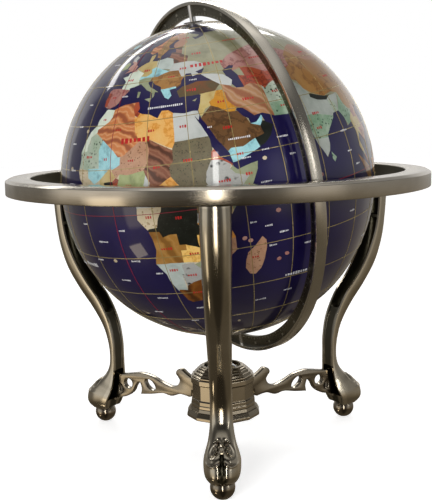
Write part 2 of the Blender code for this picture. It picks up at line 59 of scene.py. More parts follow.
POLE = Vector(joints["globe_spin"]["axis"]).normalized()
PIVOT = Vector(joints["meridian_swing"]["axis"]).normalized()
LEG_AZIMUTHS = {"front": -90.0, "right": 30.0, "left": 150.0}


def reach(node):
    """Distance in millimetres from the ball's centre to the node's farthest point."""
    return max((v.co - CENTRE).length for v in frame["nodes"][node].data.vertices) / MM


def top(node):
    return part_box(node)[1].z / MM


def bottom(node):
    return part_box(node)[0].z / MM


BALL_RADIUS = reach("globe_shell_north")
STONE_PROUD = 0.15                                  # stones and lines stand proud of the ball by this
PIVOT_LONGITUDE = 66.0                              # degrees east that faces the front pivot


# ---------------------------------------------------------------- frames and objects

def axes(x_axis, z_axis, origin):
    """A placing matrix for a shape modelled round the given axes."""
    y_axis = z_axis.cross(x_axis)
    return Matrix.Translation(origin) @ Matrix((x_axis, y_axis, z_axis)).transposed().to_4x4()


X_FROM_Z = Matrix.Rotation(math.radians(90), 4, "Y")    # lays a shape built along Z on to +X
Z_FROM_Y = Matrix.Rotation(math.radians(90), 4, "X")    # turns a ring built round Z to stand round Y
GLOBE_AXES = axes(PIVOT, POLE, CENTRE)
MERIDIAN_AXES = GLOBE_AXES @ Z_FROM_Y
BALL_CENTRE = Matrix.Translation(CENTRE)


def turned_about_z(azimuth):
    return Matrix.Rotation(math.radians(azimuth), 4, "Z")


def at_legs(place):
    """The placing matrix of a leg along +X, turned to each of the three legs."""
    return [turned_about_z(azimuth) @ place for azimuth in LEG_AZIMUTHS.values()]


def mesh_from(name, bm):
    mesh = bpy.data.meshes.new(name)
    bm.to_mesh(mesh)
    bm.free()
    return mesh


def linked(name, data):
    """A new object in the scene, made of the given data."""
    obj = bpy.data.objects.new(name, data)
    bpy.context.scene.collection.objects.link(obj)
    return obj


def add_piece(name, bm, materials, body, place=Matrix(), replaces=(), sharp=35.0):
    """Make a piece from a millimetre bmesh and let it ride on its body.

    place is in metres, and sharp is the angle in degrees from which an edge is shaded sharp.
    """
    bmesh.ops.transform(bm, matrix=place @ Matrix.Scale(MM, 4), verts=bm.verts)
    mesh = mesh_from(name, bm)
    for material in materials if isinstance(materials, (list, tuple)) else [materials]:
        mesh.materials.append(material)
    mesh.shade_smooth()
    mesh.set_sharp_from_angle(angle=math.radians(sharp))
    piece = linked(name, mesh)
    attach(piece, body)
    if replaces:
        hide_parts(*replaces)
    return piece


def tidy(bm):
    """Join doubled points, drop faces of no size and turn the faces outwards."""
    bmesh.ops.remove_doubles(bm, verts=bm.verts, dist=WELD)
    bmesh.ops.dissolve_degenerate(bm, edges=bm.edges, dist=WELD)
    bmesh.ops.recalc_face_normals(bm, faces=bm.faces)
    return bm


def turned(profile, steps, closed=True):
    """Turn (radius, height) points about Z. An open profile starts and ends on the axis."""
    bm = bmesh.new()
    verts = [bm.verts.new((radius, 0.0, height)) for radius, height in profile]
    pairs = list(zip(verts, verts[1:]))
    if closed:
        pairs.append((verts[-1], verts[0]))
    edges = [bm.edges.new(pair) for pair in pairs]
    bmesh.ops.spin(bm, geom=verts + edges, axis=(0, 0, 1), cent=(0, 0, 0), steps=steps,
                   angle=math.tau, use_merge=True)
    return tidy(bm)


def add_box(bm, place, size, material_index=0):
    """A box of the given size, centred on the placing matrix."""
    grown = bmesh.ops.create_cube(bm, size=1.0, matrix=place @ Matrix.Diagonal((*size, 1.0)))
    for face in {face for vert in grown["verts"] for face in vert.link_faces}:
        face.material_index = material_index


def arc(centre, radius, start, end, count):
    """Points on a circular arc, angles in degrees."""
    points = []
    for i in range(count + 1):
        angle = math.radians(start + (end - start) * i / count)
        points.append((centre[0] + radius * math.cos(angle), centre[1] + radius * math.sin(angle)))
    return points


def spline(points, position):
    """Value of the Catmull-Rom curve through the points at a position counted in points."""
    last = len(points) - 1
    index = min(int(position), last - 1)
    local = position - index
    around = [points[min(max(index + offset, 0), last)] for offset in (-1, 0, 1, 2)]
    value = []
    for p0, p1, p2, p3 in zip(*around):
        slope = (p2 - p0) * local
        bend = (2 * p0 - 5 * p1 + 4 * p2 - p3) * local ** 2
        twist = (3 * p1 - p0 - 3 * p2 + p3) * local ** 3
        value.append(p1 + (slope + bend + twist) / 2)
    return value


# ---------------------------------------------------------------- materials

class Tree:
    """Short names for building a node tree."""

    def __init__(self, owner):
        owner.use_nodes = True
        self.tree = owner.node_tree
        self.nodes = self.tree.nodes

    def link(self, value, socket):
        if isinstance(value, bpy.types.NodeSocket):
            self.tree.links.new(value, socket)
        else:
            socket.default_value = value

    def add(self, kind, output, settings=None, **inputs):
        """Add a node, set its settings, feed its inputs by name or by number, and return one output."""
        node = self.nodes.new(kind)
        for key, value in (settings or {}).items():
            setattr(node, key, value)
        for key, value in inputs.items():
            self.link(value, node.inputs[int(key[1:])] if key[0] == "n" and key[1:].isdigit()
                      else node.inputs[key.replace("_", " ")])
        return node.outputs[output]

    def math(self, operation, a, b=0.0):
        return self.add("ShaderNodeMath", 0, {"operation": operation}, n0=a, n1=b)

    def split(self, vector):
        """The vector's x, y and z."""
        node = self.nodes.new("ShaderNodeSeparateXYZ")
        self.link(vector, node.inputs[0])
        return node.outputs

    def scaled(self, vector, scale):
        return self.add("ShaderNodeMapping", 0, None, Vector=vector, Scale=scale)

    def noise(self, vector, scale, detail=3.0, roughness=0.55, distortion=0.0):
        return self.add("ShaderNodeTexNoise", "Fac", None, Vector=vector, Scale=scale, Detail=detail,
                        Roughness=roughness, Distortion=distortion)

    def span(self, value, low, high, to_low=0.0, to_high=1.0, smooth=False):
        """Map low..high to to_low..to_high and hold it there outside."""
        kind = "SMOOTHSTEP" if smooth else "LINEAR"
        return self.add("ShaderNodeMapRange", 0, {"interpolation_type": kind}, Value=value,
                        From_Min=low, From_Max=high, To_Min=to_low, To_Max=to_high)

    def ramp(self, value, stops):
        """A colour ramp through (position, colour) stops."""
        node = self.nodes.new("ShaderNodeValToRGB")
        elements = node.color_ramp.elements
        while len(elements) < len(stops):
            elements.new(0.5)
        for element, (place, colour) in zip(elements, stops):
            element.position = place
            element.color = (*colour, 1.0)
        self.link(value, node.inputs["Fac"])
        return node.outputs["Color"]

    def mix(self, share, a, b, blend="MIX"):
        """Colour mix of a and b, which are colours or outputs."""
        node = self.nodes.new("ShaderNodeMix")
        node.data_type = "RGBA"
        node.blend_type = blend
        self.link(share, node.inputs[0])
        for value, socket in ((a, node.inputs[6]), (b, node.inputs[7])):
            self.link((*value, 1.0) if isinstance(value, tuple) else value, socket)
        return node.outputs[2]


def new_material(name, metallic=0.0, coat=0.0, coat_roughness=0.03):
    """A material with its tree, its shader and the place on the object, in metres."""
    material = bpy.data.materials.new(name)
    tree = Tree(material)
    shader = tree.nodes["Principled BSDF"]
    shader.inputs["Metallic"].default_value = metallic
    shader.inputs["Coat Weight"].default_value = coat
    shader.inputs["Coat Roughness"].default_value = coat_roughness
    place = tree.add("ShaderNodeTexCoord", "Object")
    return material, tree, shader, place


def add_bump(tree, shader, height, strength, distance):
    """Raise the surface by a distance in millimetres where height is 1."""
    bump = tree.add("ShaderNodeBump", "Normal", None, Strength=strength, Distance=distance * MM,
                    Height=height)
    tree.link(bump, shader.inputs["Normal"])


BRUSH_STRETCH = (1.0, 1.0, 0.06)                    # draws the grain out into lines up and down
BRUSH_TURN = 0.012                                  # metres of grain in a radian round an axis


def brushed_metal(name, light, dark, roughness, round_axis=None, grain=900.0, brush_depth=0.22):
    """Cast or rolled metal with fine brush lines, darker in the hollows, and a painted highlight along sharp
    edges.

    round_axis, a placing matrix, makes the lines run round that matrix's Z axis. brush_depth is how
    much the lines change the tone.
    """
    material, tree, shader, place = new_material(name, metallic=1.0)
    if round_axis is None:
        lines = tree.scaled(place, BRUSH_STRETCH)
    else:
        turn = round_axis.inverted().to_euler()
        shift = round_axis.inverted().translation
        local = tree.add("ShaderNodeMapping", 0, None, Vector=place, Location=shift, Rotation=turn)
        x, y, z = tree.split(local)
        radius = tree.math("SQRT", tree.math("ADD", tree.math("MULTIPLY", x, x), tree.math("MULTIPLY", y, y)))
        lines = tree.add("ShaderNodeCombineXYZ", 0, None, X=radius,
                         Y=tree.math("MULTIPLY", tree.math("ARCTAN2", y, x), BRUSH_TURN), Z=z)
    brush = tree.noise(lines, grain, 4.0, 0.7)
    patches = tree.noise(place, 28.0, 4.0, 0.6)
    fine = tree.noise(place, 420.0, 2.0, 0.5)
    tone = tree.math("ADD", tree.span(brush, 0.3, 0.7, -brush_depth, brush_depth),
                     tree.span(patches, 0.3, 0.7, 0.3, 0.8))
    colour = tree.ramp(tone, [(0.0, dark), (1.0, light)])
    point = tree.add("ShaderNodeNewGeometry", "Pointiness")
    # The colour is darkened in the hollows.
    hollow = tree.span(point, 0.44, 0.495, 0.45, 1.0, smooth=True)
    # Painted highlight: sharp edges are mixed towards a lighter copy of the colour.
    edge = tree.span(point, 0.51, 0.56, 0.0, 0.5, smooth=True)
    shaded = tree.mix(1.0, colour, tree.ramp(hollow, [(0.0, (0, 0, 0)), (1.0, (1, 1, 1))]), "MULTIPLY")
    painted_highlight = tuple(min(1.0, value * 1.35) for value in light)
    tree.link(tree.mix(edge, shaded, painted_highlight), shader.inputs["Base Color"])
    rough = tree.math("ADD", tree.span(brush, 0.3, 0.7, -0.2 * brush_depth, 0.3 * brush_depth),
                      tree.span(patches, 0.35, 0.7, roughness, roughness + 0.06))
    tree.link(rough, shader.inputs["Roughness"])
    relief = tree.math("ADD", tree.math("MULTIPLY", brush, 0.7), tree.math("MULTIPLY", fine, 0.3))
    add_bump(tree, shader, relief, 0.5 * brush_depth, 0.05)
    return material


def polished_stone(name, colours, pattern, scale):
    """A slice of stone under clear lacquer: clouded, banded, speckled or veined in up to three colours."""
    material, tree, shader, place = new_material(name, coat=1.0)
    base, second, third = colours
    cloud = tree.noise(place, scale, 5.0, 0.6, 0.3)
    grain = tree.noise(place, 900.0, 3.0, 0.6)
    if pattern == "bands":
        wave = tree.add("ShaderNodeTexWave", "Fac", {"bands_direction": "DIAGONAL"}, Vector=place,
                        Scale=scale, Distortion=5.0, Detail=3.0, Detail_Scale=1.4)
        colour = tree.ramp(wave, [(0.08, third), (0.35, base), (0.7, second), (0.95, base)])
    elif pattern == "speckle":
        spots = tree.add("ShaderNodeTexVoronoi", "Distance", None, Vector=place, Scale=scale * 5.0,
                         Randomness=1.0)
        colour = tree.mix(tree.span(cloud, 0.35, 0.7), base, second)
        chips = tree.math("MULTIPLY", tree.span(spots, 0.42, 0.25, 0.0, 1.0),
                          tree.span(tree.noise(place, scale * 2.2, 2.0), 0.47, 0.58))
        colour = tree.mix(chips, colour, third)
    elif pattern == "veins":
        ridges = tree.math("ABSOLUTE", tree.math("SUBTRACT", cloud, 0.5))
        colour = tree.mix(tree.span(cloud, 0.3, 0.7), base, second)
        colour = tree.mix(tree.span(ridges, 0.035, 0.0, 0.0, 0.8), colour, third)
    else:
        colour = tree.ramp(cloud, [(0.28, third), (0.5, base), (0.72, second)])
    tree.link(tree.mix(tree.span(grain, 0.35, 0.65, 0.0, 0.16), colour, third), shader.inputs["Base Color"])
    tree.link(tree.span(cloud, 0.3, 0.7, 0.3, 0.42), shader.inputs["Roughness"])
    add_bump(tree, shader, grain, 0.05, 0.03)
    return material


def lacquer_colour(name, colour, roughness=0.35, metallic=0.0, coat=1.0):
    """A nearly even colour under lacquer, with slight clouding."""
    material, tree, shader, place = new_material(name, metallic, coat)
    cloud = tree.noise(place, 45.0, 4.0, 0.6)
    darker = tuple(value * 0.72 for value in colour)
    tree.link(tree.mix(tree.span(cloud, 0.3, 0.7), darker, colour), shader.inputs["Base Color"])
    tree.link(tree.span(cloud, 0.3, 0.7, roughness - 0.04, roughness + 0.05), shader.inputs["Roughness"])
    add_bump(tree, shader, tree.noise(place, 700.0, 2.0), 0.04, 0.03)
    return material


nickel_round = brushed_metal("nickel_brushed_round", (0.60, 0.56, 0.49), (0.36, 0.32, 0.26), 0.15,
                             BALL_CENTRE, brush_depth=0.1)
nickel_meridian = brushed_metal("nickel_brushed_meridian", (0.70, 0.66, 0.58), (0.48, 0.44, 0.37), 0.17,
                                MERIDIAN_AXES, brush_depth=0.07)
nickel_cast = brushed_metal("nickel_cast", (0.62, 0.56, 0.45), (0.43, 0.38, 0.29), 0.12, brush_depth=0.04)
bronze_cast = brushed_metal("bronze_cast", (0.43, 0.385, 0.31), (0.21, 0.18, 0.135), 0.17, grain=500.0,
                            brush_depth=0.04)
hub_metal = brushed_metal("hub_metal", (0.42, 0.36, 0.27), (0.29, 0.25, 0.18), 0.15, grain=300.0,
                          brush_depth=0.03)
dark_steel = brushed_metal("dark_steel_turned", (0.20, 0.18, 0.16), (0.08, 0.07, 0.06), 0.3)
chrome = brushed_metal("chrome_turned", (0.83, 0.83, 0.84), (0.6, 0.6, 0.62), 0.08)
brass = brushed_metal("brass_turned", (0.72, 0.52, 0.24), (0.42, 0.28, 0.11), 0.22)
# Painted shade: a darker copy of the meridian's nickel for its recessed web.
web_metal_shade = brushed_metal("nickel_web_painted_shade", (0.34, 0.32, 0.25), (0.17, 0.155, 0.115), 0.26, MERIDIAN_AXES)
# Painted shade: a dark copy of the cast nickel for the hollow backs of the legs.
leg_hollow_shade = brushed_metal("nickel_hollow_painted_shade", (0.13, 0.12, 0.085), (0.05, 0.045, 0.03), 0.3, brush_depth=0.1)
# Painted shade: a dark copy of the ring's nickel for the horizon ring's inner wall.
inner_wall_shade = brushed_metal("nickel_inner_wall_painted_shade", (0.15, 0.14, 0.10), (0.08, 0.075, 0.05), 0.3, BALL_CENTRE)
scale_metal = brushed_metal("scale_worn", (0.72, 0.70, 0.62), (0.45, 0.42, 0.36), 0.3)
foot_metal = brushed_metal("foot_turned", (0.42, 0.37, 0.29), (0.24, 0.2, 0.15), 0.1, brush_depth=0.05)
ink = lacquer_colour("dial_ink", (0.02, 0.018, 0.015), 0.5, coat=0.0)
dial_paper = lacquer_colour("dial_paper", (0.80, 0.77, 0.68), 0.55, coat=0.0)
needle_red = lacquer_colour("needle_red_paint", (0.62, 0.03, 0.02), 0.3)
needle_pale = lacquer_colour("needle_pale_paint", (0.82, 0.80, 0.74), 0.3)
gold_line = lacquer_colour("gold_line", (0.66, 0.52, 0.22), 0.25, metallic=0.5)
red_line = lacquer_colour("red_line", (0.32, 0.012, 0.04), 0.35)
white_mark = lacquer_colour("white_mark", (0.85, 0.85, 0.88))
red_mark = lacquer_colour("red_mark", (0.55, 0.015, 0.015))


def ocean_resin():
    """Deep blue-violet resin, clouded a little, under a clear glossy coat."""
    material, tree, shader, place = new_material("ocean_resin_lacquered", coat=1.0, coat_roughness=0.02)
    cloud = tree.noise(place, 14.0, 5.0, 0.6)
    glitter = tree.noise(place, 1600.0, 2.0, 0.6)
    colour = tree.ramp(cloud, [(0.3, (0.006, 0.003, 0.044)), (0.7, (0.010, 0.006, 0.072))])
    tree.link(tree.mix(tree.span(glitter, 0.62, 0.75, 0.0, 0.2), colour, (0.03, 0.022, 0.13)),
              shader.inputs["Base Color"])
    tree.link(tree.span(cloud, 0.3, 0.7, 0.3, 0.42), shader.inputs["Roughness"])
    add_bump(tree, shader, glitter, 0.03, 0.02)
    return material


def clear_glass():
    """Clear glass, with a faint trace of dust in its roughness."""
    material, tree, shader, place = new_material("lens_glass_clear")
    dust = tree.noise(place, 300.0, 4.0, 0.6)
    tree.link(tree.ramp(dust, [(0.3, (0.95, 0.97, 0.96)), (0.7, (0.98, 0.99, 0.98))]),
              shader.inputs["Base Color"])
    tree.link(tree.span(dust, 0.45, 0.75, 0.01, 0.06), shader.inputs["Roughness"])
    shader.inputs["Transmission Weight"].default_value = 1.0
    shader.inputs["IOR"].default_value = 1.45
    return material


ocean = ocean_resin()
lens_glass = clear_glass()


# ---------------------------------------------------------------- map

# Each stone: its colours from main to accent, its pattern, and the pattern's scale.
STONE_KINDS = {
    "jade_pale": (((0.69, 0.78, 0.65), (0.80, 0.83, 0.75), (0.44, 0.54, 0.42)), "cloud", 70),
    "moss_speckle": (((0.53, 0.59, 0.49), (0.36, 0.47, 0.34), (0.028, 0.056, 0.034)), "speckle", 60),
    "orange_bands": (((0.60, 0.21, 0.066), (0.69, 0.36, 0.17), (0.32, 0.090, 0.036)), "bands", 34),
    "red_jasper": (((0.36, 0.047, 0.016), (0.44, 0.090, 0.036), (0.11, 0.016, 0.010)), "veins", 60),
    "sky_blue": (((0.34, 0.67, 0.72), (0.45, 0.72, 0.76), (0.10, 0.21, 0.26)), "cloud", 90),
    "pink_granite": (((0.46, 0.24, 0.14), (0.55, 0.33, 0.21), (0.21, 0.097, 0.045)), "speckle", 90),
    "amber": (((0.77, 0.33, 0.054), (0.77, 0.50, 0.18), (0.60, 0.22, 0.009)), "veins", 50),
    "red_brown": (((0.23, 0.085, 0.046), (0.31, 0.14, 0.081), (0.088, 0.032, 0.017)), "bands", 40),
    "white_quartz": (((0.53, 0.55, 0.53), (0.59, 0.60, 0.58), (0.37, 0.40, 0.38)), "cloud", 40),
    "taupe": (((0.15, 0.12, 0.072), (0.18, 0.16, 0.092), (0.061, 0.054, 0.033)), "speckle", 110),
    "olive": (((0.36, 0.41, 0.18), (0.43, 0.48, 0.24), (0.18, 0.22, 0.089)), "cloud", 80),
    "dalmatian": (((0.45, 0.45, 0.42), (0.39, 0.40, 0.39), (0.007, 0.006, 0.007)), "speckle", 34),
    "green_pale": (((0.29, 0.32, 0.19), (0.35, 0.38, 0.26), (0.19, 0.22, 0.11)), "cloud", 60),
    "black_onyx": (((0.004, 0.005, 0.003), (0.008, 0.010, 0.007), (0.020, 0.023, 0.018)), "speckle", 120),
    "cream": (((0.62, 0.52, 0.34), (0.69, 0.60, 0.44), (0.32, 0.21, 0.098)), "speckle", 80),
    "tan_bands": (((0.35, 0.17, 0.035), (0.42, 0.22, 0.059), (0.22, 0.096, 0.018)), "bands", 30),
    "honey": (((0.84, 0.50, 0.11), (0.87, 0.60, 0.20), (0.60, 0.30, 0.051)), "veins", 70),
    "grey_blue": (((0.48, 0.55, 0.51), (0.55, 0.61, 0.59), (0.31, 0.36, 0.35)), "cloud", 70),
    "tiger_brown": (((0.17, 0.050, 0.005), (0.24, 0.084, 0.012), (0.074, 0.022, 0.002)), "bands", 36),
    "rhodonite": (((0.42, 0.16, 0.14), (0.48, 0.26, 0.22), (0.19, 0.043, 0.037)), "veins", 60),
    "dark_brown": (((0.12, 0.055, 0.018), (0.18, 0.086, 0.029), (0.044, 0.019, 0.006)), "veins", 50),
    "charcoal": (((0.008, 0.011, 0.007), (0.014, 0.018, 0.012), (0.003, 0.005, 0.003)), "cloud", 60),
    "lemon_pale": (((0.55, 0.43, 0.16), (0.60, 0.49, 0.26), (0.41, 0.26, 0.080)), "cloud", 60),
    "orange_pink": (((0.43, 0.22, 0.096), (0.48, 0.30, 0.19), (0.29, 0.10, 0.041)), "bands", 28),
    "green_agate": (((0.20, 0.36, 0.22), (0.44, 0.54, 0.42), (0.029, 0.090, 0.051)), "speckle", 70),
    "agate_grey": (((0.44, 0.48, 0.44), (0.53, 0.57, 0.53), (0.28, 0.32, 0.28)), "cloud", 40),
    "grey_olive": (((0.32, 0.31, 0.19), (0.38, 0.37, 0.25), (0.20, 0.20, 0.11)), "cloud", 50),
    "ochre": (((0.32, 0.13, 0.014), (0.39, 0.20, 0.048), (0.17, 0.059, 0.005)), "veins", 34),
    "pink_brown": (((0.40, 0.19, 0.11), (0.47, 0.28, 0.18), (0.25, 0.099, 0.053)), "cloud", 40),
    "olive_brown": (((0.083, 0.061, 0.019), (0.11, 0.083, 0.033), (0.18, 0.050, 0.007)), "cloud", 50),
    "rose": (((0.56, 0.30, 0.24), (0.62, 0.38, 0.32), (0.36, 0.15, 0.12)), "cloud", 60),
    "topaz": (((0.55, 0.22, 0.003), (0.61, 0.31, 0.027), (0.36, 0.13, 0.003)), "veins", 60),
    "snow": (((0.68, 0.69, 0.68), (0.73, 0.74, 0.73), (0.56, 0.59, 0.59)), "cloud", 24),
}
STONES = {name: polished_stone(f"stone_{name}", colours, pattern, scale)
          for name, (colours, pattern, scale) in STONE_KINDS.items()}

ISLET_SIZE = 0.85                                   # degrees from an islet's middle to its edge


def islet(longitude, latitude):
    """An eight-sided island, a little wider than it is high."""
    corners = arc((0, 0), ISLET_SIZE, 0, 315, 7)
    return [(longitude + east, latitude + 0.8 * north) for east, north in corners]


# Land is drawn in degrees east and north. Each region has its coast outlines, and stones that are
# cut out of the land in order, so a later one lies over an earlier one and may run out to sea.
AFRICA_COAST = [
    [(-6, 35.8), (-2, 35.2), (3, 36.8), (10, 37.3), (11, 35), (10.2, 34), (12, 33), (15.5, 32.2),
     (19, 30.3), (20.5, 32.7), (23, 32.7), (25, 31.6), (29, 30.9), (32.3, 31.3), (34.2, 31.2),
     (34.8, 29.5), (34.2, 27.9), (32.8, 29.6), (33.7, 27.8), (35.5, 24), (37.2, 21), (37.3, 18.8),
     (39.5, 15.5), (43, 12.6), (43.2, 11.5), (44.5, 10.4), (51.2, 11.9), (50.8, 9.5), (48, 4.5), (44, 1),
     (41.5, -1.8), (39.5, -4.5), (39, -7), (40.5, -10.8), (40.7, -15), (36.5, -18.5), (35, -20),
     (35.5, -24), (32.8, -26), (32, -29), (29, -32.5), (25.5, -34), (20, -34.8), (18.3, -33.5),
     (17, -29.5), (14.7, -24), (14.3, -21.5), (11.8, -17.3), (13.5, -12), (13, -8.5), (12, -5.5),
     (9, -1.5), (9.5, 2), (9.5, 4), (6, 4.3), (4, 6.4), (1, 6), (-2, 4.8), (-7.5, 4.4), (-11.5, 6.9),
     (-13.5, 9.5), (-16.7, 12.4), (-17.4, 14.7), (-16.5, 19), (-17, 21), (-15, 25), (-13, 27.8),
     (-9.8, 30), (-9.5, 32)],
    [(44, -17), (46, -15.5), (48, -13.5), (49.3, -12), (50.5, -13.5), (50.5, -16), (49.5, -20),
     (48, -23.5), (46, -25.5), (44, -25), (42.5, -22.5), (43, -19.5)],
]
ISLETS = [(55.5, -4.6), (43.4, -11.8), (45.3, -12.9), (57.6, -20.2), (54.6, -21.6), (-15.5, 28.3),
          (-23.5, 15.5), (53.8, 12.4), (72.0, 7.0), (73.3, 3.2), (-5.7, -16.0), (37.3, -49.3)]
AFRICA_STONES = [
    ("jade_pale", [(-18, 20.8), (-13, 21.3), (-12, 26), (-8.7, 27.7), (-3.5, 31), (-1.8, 32.5),
        (-1.8, 37), (-8, 37)]),
    ("moss_speckle", [(-18, 20.8), (-13, 21.3), (-13, 23.5), (-12, 24), (-12, 26), (-8.7, 27.3),
        (-4.8, 25), (-5.7, 15.6), (-11.8, 15), (-18.5, 16)]),
    ("orange_bands", [(-8.7, 27.3), (-8.7, 28.7), (-3.5, 31), (-1.8, 32.5), (-1.8, 37.5), (8.5, 38),
        (9.5, 30), (12, 23.5), (5.5, 19.3), (3.2, 19), (-4.8, 25)]),
    ("red_jasper", [(8.5, 38), (8.3, 34.5), (9.2, 32.5), (10.5, 31.8), (12, 33.3), (12, 38)]),
    ("amber", [(9.2, 32), (10.5, 31.8), (12, 34), (25, 33.5), (25, 22), (24, 20), (16, 23.4), (15, 23),
        (12, 23.5), (9.8, 27)]),
    ("white_quartz", [(25, 33), (25, 22), (38, 22), (35.5, 32.5)]),
    ("sky_blue", [(-4.8, 25), (1.2, 21), (3.2, 19), (4.2, 19), (4, 16.5), (1, 15), (-0.5, 15.2), (-5, 12),
        (-8, 10.5), (-11.5, 12.5), (-11.8, 15.5), (-5.7, 15.6), (-6.3, 21.5)]),
    ("pink_granite", [(4.2, 19), (5.5, 19.3), (12, 23.5), (15, 23), (15.8, 20), (15.2, 16.5),
        (13.5, 13.8), (7, 13), (4, 13.4), (2.5, 12), (0.5, 14.5), (1, 15), (4, 16.5)]),
    ("red_brown", [(15, 23), (16, 23.4), (24, 19.5), (24, 15.7), (22.8, 11), (19, 9), (15.5, 7.6),
        (13.5, 13.8), (15.2, 16.5), (15.8, 20)]),
    ("taupe", [(24, 20), (25, 22), (38, 22), (36, 4.8), (31, 3.7), (27.5, 5.5), (24.5, 8.7), (22.8, 11),
        (22.5, 14), (24, 15.7)]),
    ("red_jasper", [(36.5, 14.5), (37, 17.2), (38.5, 18.2), (44, 12), (43, 11), (42.5, 12.4)]),
    ("dalmatian", [(36.5, 14.5), (39.5, 14.5), (42.5, 12.4), (42, 11), (47.8, 8), (45, 5), (42, 4.1),
        (36, 4.5), (34, 8), (34.5, 11)]),
    ("green_pale", [(42, 11), (43.2, 12.2), (52, 12.6), (51.8, 8), (42, -2.5), (41, -1.5), (41, 3),
        (42, 4.1), (45, 5), (47.8, 8), (43.5, 9.3)]),
    ("olive", [(4, 13.4), (7, 13), (13.5, 13.8), (14, 12.5), (13.5, 10), (11.5, 7), (8, 3.5), (2.7, 6),
        (2.7, 9)]),
    ("white_quartz", [(14, 12.5), (15.5, 10), (14.5, 5), (16, 2), (8, 2.2), (8.5, 4.3), (11.5, 7),
        (13.5, 10)]),
    ("amber", [(15.5, 7.6), (19, 9), (22.8, 11), (24.5, 8.7), (27.5, 5.2), (22.5, 4), (18.5, 4),
        (16, 2.2), (14.5, 5)]),
    ("cream", [(-18.5, 16), (-11.8, 15), (-11.5, 12.5), (-8, 10.5), (-8, 8.5), (-10.5, 7.5), (-18.5, 9)]),
    ("sky_blue", [(-8, 10.5), (-5, 10.5), (-2.8, 9.8), (-3, 4), (-8, 3.8), (-13.5, 7), (-10.5, 8.2),
        (-8, 8.5)]),
    ("lemon_pale", [(-5, 12), (-0.5, 15.2), (2.2, 12.5), (0.8, 11), (-2.8, 9.8), (-5, 10.5)]),
    ("black_onyx", [(-3, 11), (0.8, 11), (1.5, 8), (1.5, 4), (-3, 4)]),
    ("red_jasper", [(0.8, 11), (2.2, 12.3), (3.6, 11.7), (2.7, 9), (2.7, 4.5), (1.5, 4), (1.5, 8)]),
    ("cream", [(8, 2.2), (16, 2), (18.5, 4), (18, 1), (15.5, -4.5), (12.5, -5.5), (8, -1.5)]),
    ("black_onyx", [(18.5, 4), (22.5, 4), (27.5, 5.2), (30.9, 3.5), (31.2, 1), (29.8, -13.4), (22, -11),
        (11, -6), (12.5, -5), (15.5, -4.5), (16.3, -2), (18, 1)]),
    ("dalmatian", [(29.6, -1.5), (31.2, 1), (30.9, 3.5), (34, 4.2), (35, 1.5), (34, -1), (30.8, -4.5),
        (29.2, -4.5)]),
    ("lemon_pale", [(34, 4.2), (36, 4.5), (41.9, 4.1), (41, 3), (41, -4.7), (39.2, -4.7), (34, -1),
        (35, 1.5)]),
    ("amber", [(31, -1), (34, -1), (39.2, -4.7), (42, -10.6), (37.5, -11.7), (34.6, -11.5), (33, -9.5),
        (30.5, -8.3), (29.2, -4.5), (30.8, -4.5)]),
    ("tan_bands", [(11, -6), (16, -6), (17, -8), (19.5, -7.2), (21.8, -7.3), (22, -11), (24, -11),
        (24, -13), (22, -17.8), (10, -17.5)]),
    ("honey", [(22, -13), (24, -13), (24, -11), (27, -12), (29.8, -13.4), (28.5, -12), (28.5, -8.5),
        (30.5, -8.3), (33, -9.5), (33.2, -14), (27, -17.9), (24.5, -17.5), (22, -17.8)]),
    ("pink_granite", [(34.6, -11.5), (37.5, -11.7), (42, -10.5), (42, -16), (33.5, -27), (32, -26.8),
        (30.3, -15.5), (33.2, -14)]),
    ("green_pale", [(27, -17.9), (30.3, -15.5), (33, -16), (32.9, -20), (31.3, -22.4), (29.3, -22.2),
        (25.5, -18.5)]),
    ("grey_blue", [(10, -17.3), (24.5, -17.5), (21, -18.2), (21, -22), (20, -22), (20, -28.5),
        (16, -29.5)]),
    ("dalmatian", [(21, -18.2), (25.3, -17.8), (25.5, -18.5), (29.3, -22.2), (26.5, -24.5), (20.5, -26.8),
        (20, -22), (21, -22)]),
    ("tiger_brown", [(17, -28.2), (20, -28.5), (20.5, -26.8), (23, -25.5), (26.5, -24.5), (29.3, -22.2),
        (31.3, -22.4), (32, -26.8), (34.5, -27), (30, -35), (20, -36.5), (15, -33)]),
    ("pink_granite", [(42, -14), (52, -11), (52, -27), (42, -27)]),
    ("rhodonite", [(52.5, 10), (80, 10), (80, -30), (52.5, -30)]),
    ("rose", [(42, -10.5), (46.3, -11.8), (46.3, -13.9), (42, -13)]),
]
